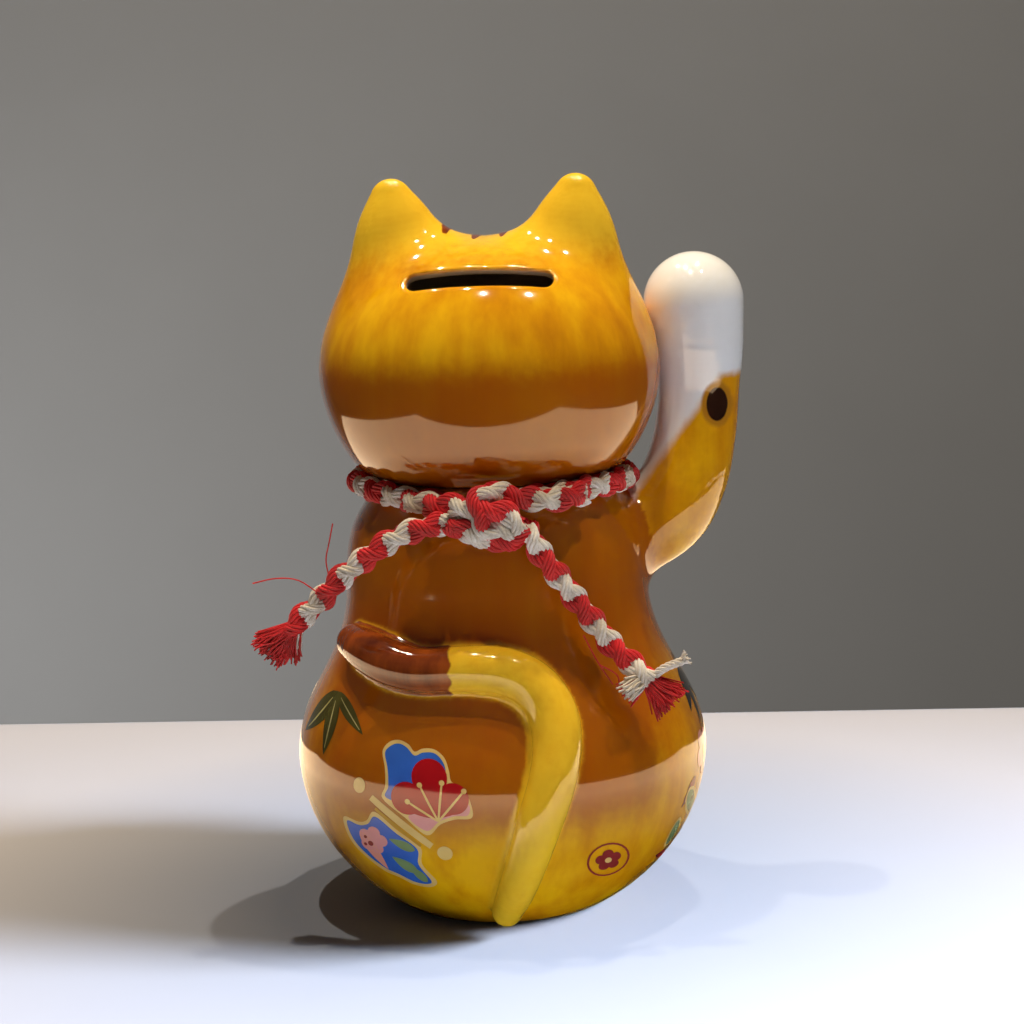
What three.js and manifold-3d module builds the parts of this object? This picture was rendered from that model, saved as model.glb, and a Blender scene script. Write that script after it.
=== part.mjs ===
// Beckoning cat coin bank in glazed ceramic, with a braided cord collar tied behind.
// Millimetres, +Z up. The origin is the middle of the base on the table, and the cat faces -Y.
import * as THREE from 'three';
import { mergeVertices } from 'three/addons/utils/BufferGeometryUtils.js';
import Module from 'manifold-3d';

const wasm = await Module();
wasm.setup();

// ---- Driving sizes ----
const touchGap = 0.3;            // air left between pieces that touch

const wall = 4.5;                // fired wall of the slip castings
const footRadius = 29;           // the ring that stands on the table
const bellyRadius = 58;
const bellyHeight = 43;
const waistRadius = 42.3;
const waistHeight = 94;
const neckRadius = 34;
const neckHeight = 122.5;        // where the head casting is luted on
const bellyDepthRatio = 0.92;    // front-to-back depth against side-to-side width
const neckDepthRatio = 0.92;

const cheekRadius = 47.5;
const cheekRise = 28.5;          // widest point of the head above the neck
const crownRise = 66;
const headDepthRatio = 0.84;
const earRise = 82.5;
const earSpacing = 51.5;         // tip to tip
const earBaseRadius = 24;
const earLength = 46;
const earTipRadius = 3.6;
const earDepthRatio = 0.6;

const slotLength = 39;
const slotWidth = 5;
const slotBack = 28;             // how far behind the middle the slot is cut

const pawRadius = 14.1;
const forearmRadius = 11.5;
const armForward = 12;           // the raised arm stands this far in front of the middle
const armClearance = 1.7;        // between the arm and the head
const pawTilt = 1.5;             // the paw leans out this much more
const tailRadius = 5.2;
const forelegRadius = 11;
const forelegOut = 2;            // axis of the lowered foreleg in front of the torso's skin
const footLength = 30;
const footWidth = 25;
const footHeight = 19;

const cordRadius = 3.3;
const cordOverSeam = 1.8;        // top of the collar above the seam of the neck
const cordSlack = 2.6;           // room at the front for the bell's shank

const bellRadius = 8.5;
const bellWall = 0.8;
const bellSlit = 1.8;
const bellSlitReach = 5.6;       // from the middle of the slit to each end
const bellSlitEnd = 3.4;         // round hole at each end of the slit
const shankWire = 0.6;
const pelletRadius = 2.3;

const recessDepth = 4;           // hollow of the underside, so only the foot ring touches
const footRingWidth = 6;
const fillerRadius = 15;         // hole that the coins are taken out through
const plugClearance = 0.2;
const plugFlange = 3.5;          // how far the plug's flange covers the hole's edge
const plugFlangeThickness = 2.2;
const plugInside = 3;            // how far the plug reaches past the base plate

const cheekHeight = neckHeight + cheekRise;
const crownHeight = neckHeight + crownRise;
const earHeight = neckHeight + earRise;
const cordHeight = neckHeight + cordOverSeam - cordRadius;
const neckGroove = 2 * cordRadius + 2.4;   // upright stretch of the neck that the collar lies in

const ringSteps = 40;
const curveSteps = 7;            // along each curve of an outline
const frameSteps = 240;

// ---- Finishes ----
const finish = (color, roughness, metalness = 0) =>
  new THREE.MeshStandardMaterial({ color, roughness, metalness });
const amberGlaze = finish(0xd9921c, 0.12);
const whiteGlaze = finish(0xefebe2, 0.12);
const tailGlaze = finish(0xe0a92a, 0.12);
const redCord = finish(0xb3202a, 0.85);
const brass = finish(0xc99b3f, 0.3, 1);
const rubber = finish(0x3a3633, 0.8);

// ---- Solids and meshes ----
const vec = (x, y, z) => new THREE.Vector3(x, y, z);
const flat = (x, y) => new THREE.Vector2(x, y);
const degrees = THREE.MathUtils.degToRad;

function solidOf(geometry) {
  geometry.deleteAttribute('normal');
  geometry.deleteAttribute('uv');
  const merged = mergeVertices(geometry, 1e-4);
  return new wasm.Manifold(new wasm.Mesh({
    numProp: 3,
    vertProperties: new Float32Array(merged.attributes.position.array),
    triVerts: new Uint32Array(merged.index.array),
  }));
}

function meshOf(name, solid, material) {
  const data = solid.getMesh();
  const geometry = new THREE.BufferGeometry();
  geometry.setAttribute('position', new THREE.BufferAttribute(data.vertProperties, 3));
  geometry.setIndex(new THREE.BufferAttribute(data.triVerts, 1));
  geometry.computeVertexNormals();
  const mesh = new THREE.Mesh(geometry, material);
  mesh.name = name;
  return mesh;
}

// Moves every point of a geometry to where place(x, y, z) says.
function reshape(geometry, place) {
  const points = geometry.attributes.position;
  for (let i = 0; i < points.count; i++) {
    const p = place(points.getX(i), points.getY(i), points.getZ(i));
    points.setXYZ(i, p.x, p.y, p.z);
  }
  return geometry;
}

// A turned solid about Z from [radius, height] points that start and end on the axis.
function turned(points, steps = ringSteps) {
  return new THREE.LatheGeometry(points, steps).rotateX(Math.PI / 2);
}

// A round-ended limb along a curve, with a radius that may change from its start (0) to its end (1).
function limb(curve, thickness, around = 20, along = 24) {
  const length = curve.getLength();
  const end = thickness(1);
  const capsule = new THREE.CapsuleGeometry(end, length - 2 * end, 6, around, along);
  const frames = curve.computeFrenetFrames(frameSteps, false);
  return reshape(capsule, (x, y, z) => {
    const t = THREE.MathUtils.clamp(y / length + 0.5, 0, 1);
    const frame = Math.round(t * frameSteps);
    const grow = thickness(t) / end;
    return curve.getPointAt(t)
      .addScaledVector(frames.binormals[frame], x * grow)
      .addScaledVector(frames.normals[frame], z * grow);
  });
}

// ---- Outlines of the two hollow castings ----
// Each is the right-hand edge seen from the front, from its lowest to its highest point.
function torsoEdge() {
  const edge = new THREE.CurvePath();
  edge.add(new THREE.CubicBezierCurve(flat(footRadius, 0), flat(footRadius + 7, 3),
    flat(bellyRadius - 1, bellyHeight - 26), flat(bellyRadius, bellyHeight)));
  edge.add(new THREE.CubicBezierCurve(flat(bellyRadius, bellyHeight), flat(bellyRadius, bellyHeight + 20),
    flat(waistRadius, waistHeight - 24), flat(waistRadius, waistHeight)));
  edge.add(new THREE.CubicBezierCurve(flat(waistRadius, waistHeight), flat(waistRadius, waistHeight + 20),
    flat(neckRadius, neckHeight - neckGroove), flat(neckRadius, neckHeight)));
  return edge;
}

function headEdge() {
  const edge = new THREE.CurvePath();
  edge.add(new THREE.CubicBezierCurve(flat(neckRadius, neckHeight + touchGap),
    flat(neckRadius + 4.5, neckHeight + 1.7), flat(cheekRadius, cheekHeight - 13),
    flat(cheekRadius, cheekHeight)));
  edge.add(new THREE.CubicBezierCurve(flat(cheekRadius, cheekHeight),
    flat(cheekRadius, cheekHeight + 22), flat(26, crownHeight), flat(0, crownHeight)));
  return edge;
}

// The edge moved outwards by grow (inwards when negative).
function offsetEdge(edge, grow) {
  const points = [];
  edge.curves.forEach((curve, place) => {
    for (let i = place ? 1 : 0; i <= curveSteps; i++) {
      const tangent = curve.getTangent(i / curveSteps);
      const p = curve.getPoint(i / curveSteps);
      points.push(flat(Math.max(p.x + tangent.y * grow, 0), p.y - tangent.x * grow));
    }
  });
  return points;
}

// The radius of an edge at one height; past its ends it carries on straight.
function radiusAt(points, z) {
  const above = points.findIndex((p) => p.y >= z);
  if (above === 0) return points[0].x;
  if (above < 0) return points[points.length - 1].x;
  const low = points[above - 1];
  const high = points[above];
  return THREE.MathUtils.mapLinear(z, low.y, high.y, low.x, high.x);
}

// The part of an edge between two heights, closed with flat ends at the axis.
function closedOutline(points, low, high) {
  const inside = points.filter((p) => p.y > low + 0.01 && p.y < high - 0.01);
  return [flat(0, low), flat(radiusAt(points, low), low), ...inside,
    flat(radiusAt(points, high), high), flat(0, high)];
}

const torsoDepth = (z) => {
  const swell = Math.sin(Math.PI * THREE.MathUtils.clamp(z / neckHeight, 0, 1) / 2);
  return THREE.MathUtils.lerp(1, Math.min(bellyDepthRatio, neckDepthRatio), swell);
};

const headDepth = (z) => THREE.MathUtils.lerp(neckDepthRatio, headDepthRatio,
  THREE.MathUtils.smoothstep(z, neckHeight, cheekHeight));

function torsoSolid(grow, low, high) {
  const outline = closedOutline(offsetEdge(torsoEdge(), grow), low, high);
  return solidOf(reshape(turned(outline), (x, y, z) => vec(x, y * torsoDepth(z), z)));
}

function headSolid(grow, low) {
  const edge = offsetEdge(headEdge(), grow);
  const outline = closedOutline(edge, low, edge[edge.length - 1].y);
  return solidOf(reshape(turned(outline), (x, y, z) => vec(x, y * headDepth(z), z)));
}

// ---- Torso ----
const baseTop = recessDepth + wall;
const torsoGrown = torsoSolid(touchGap, -1, neckHeight - touchGap);

function torsoShell() {
  const recess = turned([flat(0, -1), flat(footRadius - footRingWidth, -1),
    flat(footRadius - footRingWidth, recessDepth), flat(0, recessDepth)]);
  const filler = turned([flat(0, -1), flat(fillerRadius, -1), flat(fillerRadius, baseTop + 1),
    flat(0, baseTop + 1)]);
  return torsoSolid(0, 0, neckHeight)
    .subtract(torsoSolid(-wall, baseTop, neckHeight + 1))
    .subtract(solidOf(recess))
    .subtract(solidOf(filler));
}

// ---- Head ----
function earSolid(side) {
  const slope = new THREE.CubicBezierCurve(flat(earBaseRadius, 0), flat(earBaseRadius - 7, earLength * 0.5),
    flat(earTipRadius * 2, earLength), flat(0, earLength));
  const ear = turned([flat(0, 0), ...slope.getPoints(9)], 24);
  ear.scale(1, earDepthRatio, 1);
  ear.rotateY(degrees(4) * side);
  ear.translate(side * earSpacing / 2 - side * 3.4, 0, earHeight - earLength);
  return solidOf(ear);
}

function slotSolid() {
  const half = slotLength / 2 - slotWidth / 2;
  const shape = new THREE.Shape();
  shape.absarc(half, 0, slotWidth / 2, -Math.PI / 2, Math.PI / 2);
  shape.absarc(-half, 0, slotWidth / 2, Math.PI / 2, 3 * Math.PI / 2);
  const cut = new THREE.ExtrudeGeometry(shape,
    { depth: crownHeight - cheekHeight, bevelEnabled: false, curveSegments: 8 });
  cut.translate(0, slotBack, cheekHeight + wall);
  return solidOf(cut);
}

function headShell() {
  return headSolid(0, neckHeight + touchGap)
    .add(earSolid(1))
    .add(earSolid(-1))
    .subtract(headSolid(-wall, neckHeight - 1))
    .subtract(slotSolid());
}

// ---- Raised arm, tail, and the limbs at the front ----
// Half the head's width at a height, measured in a slice in front of the middle.
function headHalfWidth(z, forward) {
  const radius = radiusAt(headEdge().getPoints(curveSteps), z);
  const share = forward / (radius * headDepth(z));
  return radius * Math.sqrt(1 - share * share);
}

// Where the axis of an arm of a given radius clears the head at a height.
function besideHead(z, radius) {
  return headHalfWidth(z, armForward) + armClearance + radius;
}

function raisedArm() {
  const pawHeight = cheekHeight + 17;
  const wristHeight = cheekHeight + 8;
  const forearm = besideHead(cheekHeight, forearmRadius);
  const wrist = besideHead(wristHeight, (forearmRadius + pawRadius) / 2);
  const paw = besideHead(pawHeight, pawRadius) + pawTilt;
  const curve = new THREE.CatmullRomCurve3([
    vec(-waistRadius + 8, -armForward * 0.6, neckHeight - 22.5),
    vec(-waistRadius - 2, -armForward * 0.7, neckHeight - 17.5),
    vec(-waistRadius - 9.5, -armForward * 0.85, neckHeight - 9.5),
    vec(-forearm + 2.5, -armForward, neckHeight + 4.5),
    vec(-forearm, -armForward, cheekHeight - 7),
    vec(-wrist, -armForward, wristHeight),
    vec(-paw, -armForward, pawHeight),
    vec(-paw, -armForward, pawHeight + pawRadius)]);
  const thickness = (t) => THREE.MathUtils.lerp(forearmRadius, pawRadius,
    THREE.MathUtils.smoothstep(t, 0.65, 0.9));
  return solidOf(limb(curve, thickness, 20, 22)).subtract(torsoGrown);
}

// How far the torso's skin stands behind the middle at a place seen from the front or the back.
function skinDepth(x, z) {
  const radius = radiusAt(torsoEdge().getPoints(curveSteps), z);
  return torsoDepth(z) * Math.sqrt(Math.max(radius * radius - x * x, 0));
}

function tail() {
  const route = [[36, 79], [28, 77], [18, 75.5], [7, 76], [-4, 75.5], [-12, 71.5], [-17, 65],
    [-18.6, 57], [-17, 47], [-12.6, 34], [-7, 18], [-2, 5]];
  const curve = new THREE.CatmullRomCurve3(route.map(([x, z]) => vec(x, skinDepth(x, z), z)));
  const thickness = (t) => tailRadius * (1 + 0.3 * Math.sin(Math.PI * t));
  return solidOf(limb(curve, thickness, 12, 30)).subtract(torsoGrown)
    .trimByPlane([0, 0, 1], 0);
}

// The lowered foreleg lies on the front, half sunk into the torso's skin.
function leftForeleg() {
  const route = [[waistRadius - 11, waistHeight + 4], [waistRadius - 11, waistHeight - 8],
    [waistRadius - 14, waistHeight - 22], [waistRadius - 20, waistHeight - 34],
    [waistRadius - 26, waistHeight - 44]];
  const curve = new THREE.CatmullRomCurve3(route.map(([x, z]) =>
    vec(x, -skinDepth(x, z) - forelegOut, z)));
  return solidOf(limb(curve, () => forelegRadius, 16, 12)).subtract(torsoGrown);
}

function hindFoot(side) {
  const foot = new THREE.SphereGeometry(1, 20, 14);
  const spread = footRadius - 9;
  const middle = footHeight / 2 - 1;
  foot.scale(footWidth / 2, footLength / 2, footHeight / 2);
  foot.rotateZ(degrees(12) * side);
  foot.translate(side * spread, -skinDepth(spread, middle) - footLength * 0.35, middle);
  return solidOf(foot).subtract(torsoGrown).trimByPlane([0, 0, 1], 0);
}

// ---- Collar cord ----
const cordCentre = neckRadius + touchGap + cordRadius;
const cordFront = neckRadius * neckDepthRatio + touchGap + cordRadius + cordSlack;
const cordBack = neckRadius * neckDepthRatio + touchGap + cordRadius;

const knotMiddle = vec(-5, cordBack + 5.2, cordHeight - 3.4);

// The free ends, from the knot outwards.
const leftRoute = [[8.6, 42, 115.6], [21.7, 42.5, 112.2], [35.7, 41, 103], [44.5, 39, 94.5], [50, 38, 89.3]];
const rightRoute = [[-11.6, 42, 113.4], [-16.5, 41.5, 104.6], [-22.8, 40, 95.5], [-29.2, 39, 86.2],
  [-35.1, 39, 78.7], [-40.9, 40, 73.4]];
const leftTip = [58.8, 36, 79.2];
const rightTip = [-48.2, 41, 65.8];

function knotSolid(grow) {
  const wraps = [
    [[-13, -3, 2.4], [0, 1.5, 4.2], [13, -3, 1.8]],
    [[-12.5, -1, -3.6], [-2, 2.6, -2.4], [12.5, -1.5, -4.4]],
    [[-2.5, -4, 6.4], [2, 4.6, 0.4], [-3.5, -3.6, -7.2]],
  ];
  const lobes = wraps.map((wrap) => {
    const curve = new THREE.CatmullRomCurve3(wrap.map((p) => vec(...p).add(knotMiddle)));
    return solidOf(limb(curve, () => cordRadius + grow, 12, 8));
  });
  return lobes[0].add(lobes[1]).add(lobes[2]);
}

function collarLoop() {
  const ring = new THREE.TorusGeometry(cordCentre, cordRadius, 10, 48);
  const place = (x, y, z) => {
    const angle = Math.atan2(y, x);
    const depth = y < 0 ? cordFront : cordBack;
    const out = Math.hypot(x, y) - cordCentre;
    return vec(Math.cos(angle) * (cordCentre + out), Math.sin(angle) * (depth + out), cordHeight + z);
  };
  return solidOf(reshape(ring, place)).subtract(knotGrown).subtract(headGrown);
}

const routeCurve = (route) => new THREE.CatmullRomCurve3(route.map((p) => vec(...p)));

function cordTube(route) {
  const curve = routeCurve(route);
  const section = new THREE.Shape();
  section.absarc(0, 0, cordRadius, 0, 2 * Math.PI);
  const tube = new THREE.ExtrudeGeometry(section,
    { extrudePath: curve, steps: 4, curveSegments: 5, bevelEnabled: false });
  return solidOf(tube).subtract(knotGrown);
}

// The tuft points from the cut end of the cord to its tip, and clears the end at every side.
function fraySolid(route, tip) {
  const start = vec(...route[route.length - 1]);
  const along = vec(...tip).sub(start);
  const length = along.length();
  const bend = along.angleTo(routeCurve(route).getTangent(1));
  const low = touchGap + cordRadius * Math.tan(bend);
  const tuft = turned([flat(0, low), flat(cordRadius, low), flat(cordRadius + 1.6, length * 0.6),
    flat(cordRadius + 0.8, length), flat(0, length)], 12);
  const turn = new THREE.Quaternion().setFromUnitVectors(vec(0, 0, 1), along.normalize());
  tuft.applyQuaternion(turn).translate(start.x, start.y, start.z);
  return solidOf(tuft);
}

const knotGrown = knotSolid(touchGap);
const headGrown = headSolid(touchGap, neckHeight);

// ---- Bell, drawn hanging straight down from the collar cord ----
const shankRadius = cordRadius + touchGap + shankWire;
const bellDrop = shankRadius + bellRadius;

function ball(radius, z) {
  return solidOf(new THREE.SphereGeometry(radius, 24, 16).translate(0, 0, z));
}

// Half of the bell: up is 1 for the top half and -1 for the bottom half.
function bellHalf(up) {
  return ball(bellRadius, -bellDrop)
    .subtract(ball(bellRadius - bellWall, -bellDrop))
    .trimByPlane([0, 0, up], touchGap / 2 - bellDrop * up);
}

function bellTop() {
  const shank = new THREE.TorusGeometry(shankRadius, shankWire, 10, 32).rotateY(Math.PI / 2);
  return bellHalf(1).add(solidOf(shank));
}

function bellBottom() {
  const lowest = -bellDrop - bellRadius;
  const slit = new THREE.BoxGeometry(bellSlit, 2 * bellSlitReach, bellRadius).translate(0, 0, lowest);
  let bottom = bellHalf(-1).subtract(solidOf(slit));
  for (const side of [1, -1]) {
    const hole = new THREE.CylinderGeometry(bellSlitEnd / 2, bellSlitEnd / 2, bellRadius, 16);
    hole.rotateX(Math.PI / 2);
    hole.translate(0, side * (bellRadius / 2 + bellSlitReach), lowest + bellRadius * 0.5);
    bottom = bottom.subtract(solidOf(hole));
  }
  return bottom;
}

function pellet() {
  const rest = bellDrop + bellRadius - bellWall - touchGap - pelletRadius;
  return solidOf(new THREE.SphereGeometry(pelletRadius, 14, 10).translate(0, 0, -rest));
}

// ---- Rubber plug in the underside ----
function plug() {
  const top = baseTop + plugInside;
  const shaft = fillerRadius - plugClearance;
  return solidOf(turned([flat(0, recessDepth - touchGap - plugFlangeThickness),
    flat(fillerRadius + plugFlange, recessDepth - touchGap - plugFlangeThickness),
    flat(fillerRadius + plugFlange, recessDepth - touchGap), flat(shaft, recessDepth - touchGap),
    flat(shaft, top - 1), flat(shaft - 1, top), flat(0, top)]));
}

// ---- The assembly ----
const cat = new THREE.Group();
cat.add(meshOf('torso_shell', torsoShell(), amberGlaze));
cat.add(meshOf('head_shell', headShell(), amberGlaze));
cat.add(meshOf('raised_arm', raisedArm(), whiteGlaze));
cat.add(meshOf('tail', tail(), tailGlaze));
cat.add(meshOf('left_foreleg', leftForeleg(), amberGlaze));
cat.add(meshOf('left_foot', hindFoot(1), whiteGlaze));
cat.add(meshOf('right_foot', hindFoot(-1), whiteGlaze));
cat.add(meshOf('collar_knot', knotSolid(0), redCord));
cat.add(meshOf('collar_cord', collarLoop(), redCord));
cat.add(meshOf('cord_end_left', cordTube(leftRoute), redCord));
cat.add(meshOf('cord_end_right', cordTube(rightRoute), redCord));
cat.add(meshOf('fray_left', fraySolid(leftRoute, leftTip), redCord));
cat.add(meshOf('fray_right', fraySolid(rightRoute, rightTip), redCord));
cat.add(meshOf('stopper', plug(), rubber));

// The bell leans out from the cord until it rests on the chest.
const chest = skinDepth(0, cordHeight - bellDrop);
const bell = new THREE.Group();
bell.position.set(0, -cordFront, cordHeight);
bell.rotation.x = -Math.asin((chest + touchGap + bellRadius - cordFront) / bellDrop);
bell.add(meshOf('bell_top', bellTop(), brass));
bell.add(meshOf('bell_bottom', bellBottom(), brass));
bell.add(meshOf('bell_pellet', pellet(), brass));
cat.add(bell);

export default cat;
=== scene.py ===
import math

import bpy
import numpy as np
from mathutils import Matrix, Vector, geometry


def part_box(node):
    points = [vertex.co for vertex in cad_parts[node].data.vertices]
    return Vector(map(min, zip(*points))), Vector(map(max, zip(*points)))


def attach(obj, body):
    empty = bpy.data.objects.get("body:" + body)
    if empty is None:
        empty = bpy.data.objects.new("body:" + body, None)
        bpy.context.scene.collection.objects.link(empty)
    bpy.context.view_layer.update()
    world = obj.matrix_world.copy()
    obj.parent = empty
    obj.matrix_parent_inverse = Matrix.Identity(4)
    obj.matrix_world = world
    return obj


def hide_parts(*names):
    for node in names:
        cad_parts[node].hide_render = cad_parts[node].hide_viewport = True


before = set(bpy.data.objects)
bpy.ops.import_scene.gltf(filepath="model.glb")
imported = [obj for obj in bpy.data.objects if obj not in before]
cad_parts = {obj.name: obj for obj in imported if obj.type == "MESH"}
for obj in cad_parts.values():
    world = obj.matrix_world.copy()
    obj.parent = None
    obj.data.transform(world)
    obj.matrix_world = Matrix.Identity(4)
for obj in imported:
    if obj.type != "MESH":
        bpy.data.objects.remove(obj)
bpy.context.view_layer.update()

# Beckoning cat coin bank: hollow glazed ceramic, painted by hand, with a braided cord tied behind.
# Everything is worked out in millimetres and written to Blender in metres. The cat faces -Y.
mm = 0.001
perMetre = 1000


def nodeLow(node):
    return np.array(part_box(node)[0]) / mm


def nodeHigh(node):
    return np.array(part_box(node)[1]) / mm


# Camera, a little to the right behind the cat and rolled slightly, as it was held
camera = dict(azimuth=184.144, elevation=9.5, away=700, aim=(-5, 0, 110.75), lens=87.4, roll=1.97)


def placeCamera():
    turn = math.radians(camera["azimuth"])
    rise = math.radians(camera["elevation"])
    back = Vector((math.sin(turn) * math.cos(rise), -math.cos(turn) * math.cos(rise), math.sin(rise)))
    right = (-back).cross(Vector((0, 0, 1))).normalized()
    up = right.cross(-back)
    roll = math.radians(camera["roll"])
    rolledRight = right * math.cos(roll) - up * math.sin(roll)
    rolledUp = up * math.cos(roll) + right * math.sin(roll)
    data = bpy.data.cameras.new("camera")
    data.lens = camera["lens"]
    data.clip_start = 0.01
    holder = bpy.data.objects.new("camera", data)
    bpy.context.collection.objects.link(holder)
    spot = (Vector(camera["aim"]) + back * camera["away"]) * mm
    turned = Matrix((rolledRight, rolledUp, back)).transposed().to_4x4()
    holder.matrix_world = Matrix.Translation(spot) @ turned
    bpy.context.scene.camera = holder


placeCamera()
print("camera placed")


def linear(hexColour, alpha=1.0):
    channels = [int(hexColour[i:i + 2], 16) / 255 for i in (1, 3, 5)]
    return tuple(c / 12.92 if c < 0.04045 else ((c + 0.055) / 1.055) ** 2.4 for c in channels) + (alpha,)


def addNode(tree, kind, settings=None, links=None):
    # settings: node attributes, or inputs by their name or number; links: input to output socket
    node = tree.nodes.new(kind)
    for key, value in (settings or {}).items():
        if isinstance(key, str) and hasattr(node, key):
            setattr(node, key, value)
        else:
            node.inputs[key].default_value = value
    for key, socket in (links or {}).items():
        tree.links.new(socket, node.inputs[key])
    return node


def newMaterial(name):
    material = bpy.data.materials.new(name)
    material.use_nodes = True
    tree = material.node_tree
    shader = tree.nodes["Principled BSDF"]
    return material, tree, shader


def meshObject(name, points, faces, materials, faceMaterials=None, normals=None, tags=None):
    # points in millimetres; tags are numbers kept at the points for the paint
    mesh = bpy.data.meshes.new(name)
    mesh.from_pydata((np.asarray(points) * mm).tolist(), [], np.asarray(faces).tolist())
    for material in materials:
        mesh.materials.append(material)
    if faceMaterials is not None:
        mesh.polygons.foreach_set("material_index", np.asarray(faceMaterials, dtype=np.int32))
    mesh.polygons.foreach_set("use_smooth", np.ones(len(mesh.polygons), dtype=bool))
    for tag, values in (tags or {}).items():
        layer = mesh.attributes.new(tag, "FLOAT", "POINT")
        layer.data.foreach_set("value", np.asarray(values, dtype=np.float32))
    if normals is not None:
        mesh.normals_split_custom_set_from_vertices(np.asarray(normals).tolist())
    mesh.update()
    piece = bpy.data.objects.new(name, mesh)
    bpy.context.collection.objects.link(piece)
    return piece


def stretch(a, b, c, d, t):
    # a Catmull-Rom curve from b to c
    square, cube = 2 * a - 5 * b + 4 * c - d, 3 * b - a - 3 * c + d
    return 0.5 * (2 * b + (c - a) * t + square * t ** 2 + cube * t ** 3)


def curveThrough(points, steps):
    # a smooth open curve through the points
    p = np.asarray(points, dtype=float)
    p = np.vstack([2 * p[0] - p[1], p, 2 * p[-1] - p[-2]])
    t = np.linspace(0, 1, steps, endpoint=False)[:, None]
    runs = [stretch(a, b, c, d, t) for a, b, c, d in zip(p[:-3], p[1:-2], p[2:-1], p[3:])]
    return np.vstack(runs + [p[-2:-1]])


def goneAlong(line):
    return np.concatenate([[0], np.cumsum(np.linalg.norm(np.diff(line, axis=0), axis=1))])


def sampled(line, at, gone):
    return np.stack([np.interp(at, gone, line[:, i]) for i in range(line.shape[1])], axis=1)


def evenly(line, spacing):
    gone = goneAlong(line)
    count = max(int(round(gone[-1] / spacing)), 2) + 1
    return sampled(line, np.linspace(0, gone[-1], count), gone)


def smoothPath(points, spacing):
    return evenly(curveThrough(points, 30), spacing)


def framesAlong(line):
    # tangents with two sideways directions that don't twist
    tangent = np.gradient(line, axis=0)
    tangent /= np.linalg.norm(tangent, axis=1)[:, None]
    side = np.zeros_like(line)
    start = np.cross(tangent[0], (0, 0, 1))
    if np.linalg.norm(start) < 0.2:
        start = np.cross(tangent[0], (0, 1, 0))
    side[0] = start / np.linalg.norm(start)
    for i in range(1, len(line)):
        s = side[i - 1] - tangent[i] * np.dot(side[i - 1], tangent[i])
        side[i] = s / np.linalg.norm(s)
    return tangent, side, np.cross(tangent, side)


def tubes(lines, radius, around):
    # round threads along many lines of the same number of points: points and quads
    lines = np.asarray(lines)
    count, steps, _ = lines.shape
    angle = np.linspace(0, 2 * np.pi, around, endpoint=False)
    points = []
    for line in lines:
        _, side, up = framesAlong(line)
        ring = side[:, None, :] * np.cos(angle)[None, :, None] + up[:, None, :] * np.sin(angle)[None, :, None]
        points.append((line[:, None, :] + ring * radius).reshape(-1, 3))
    first = np.arange(count)[:, None, None] * steps * around
    i = np.arange(steps - 1)[None, :, None] * around
    j = np.arange(around)[None, None, :]
    after = i + around
    nextJ = (j + 1) % around
    quads = np.stack([first + i + j, first + i + nextJ, first + after + nextJ, first + after + j], axis=-1)
    return np.vstack(points), quads.reshape(-1, 4)


def threadMesh(name, groups, around):
    # groups of threads: their lines, 0 for red or 1 for white, and their radius
    points, faces, which = [], [], []
    total = 0
    for lines, colour, radius in groups:
        p, f = tubes(lines, radius, around)
        points.append(p)
        faces.append(f + total)
        which.append(np.full(len(f), colour))
        total += len(p)
    return meshObject(name, np.vstack(points), np.vstack(faces), [redYarn, whiteYarn], np.concatenate(which))


def placeCord(piece, node=None):
    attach(piece, "figurine")
    if node:
        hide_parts(node)


braid = dict(radius=3.3, strandRadius=1.95, pitch=15.6, weave=0.42, puff=0.1, spacing=0.6,
             red=dict(yarns=9, thick=0.47, spread=1.0, turn=13.0),
             white=dict(yarns=7, thick=0.47 * 1.15, spread=0.88, turn=13.0 * 1.25))


def braidStrands(line, start):
    # four strands, two winding each way, that pass over and under each other
    gone = goneAlong(line)
    _, side, up = framesAlong(line)
    rate = 2 * np.pi / braid["pitch"]
    middle = braid["radius"] - braid["strandRadius"] + braid["puff"]
    strands = []
    for way, phase in ((1, 0), (1, np.pi), (-1, 0), (-1, np.pi)):
        angle = way * (rate * gone + start) + phase
        out = middle + way * braid["weave"] * np.cos(2 * angle)
        strands.append(line + side * (np.cos(angle) * out)[:, None] + up * (np.sin(angle) * out)[:, None])
    return strands


def yarnsOf(strand, count, turn, spread):
    # twisted yarns round a strand's middle line
    gone = goneAlong(strand)
    _, side, up = framesAlong(strand)
    lines = []
    for k in range(count):
        angle = 2 * np.pi * (k / count + gone / turn)
        across, over = (np.cos(angle) * spread)[:, None], (np.sin(angle) * spread)[:, None]
        lines.append(strand + side * across + up * over)
    return lines


def braidMesh(name, line, start):
    # the strands in red and white; the white yarn is thicker and softer
    groups = []
    for strand, colour in zip(braidStrands(line, start), (0, 1, 0, 1)):
        yarn = braid["white" if colour else "red"]
        spread = braid["strandRadius"] * yarn["spread"] - yarn["thick"]
        lines = yarnsOf(strand, yarn["yarns"], yarn["turn"], spread) + [strand]
        groups.append((lines, colour, yarn["thick"]))
    return threadMesh(name, groups, 6)


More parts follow.
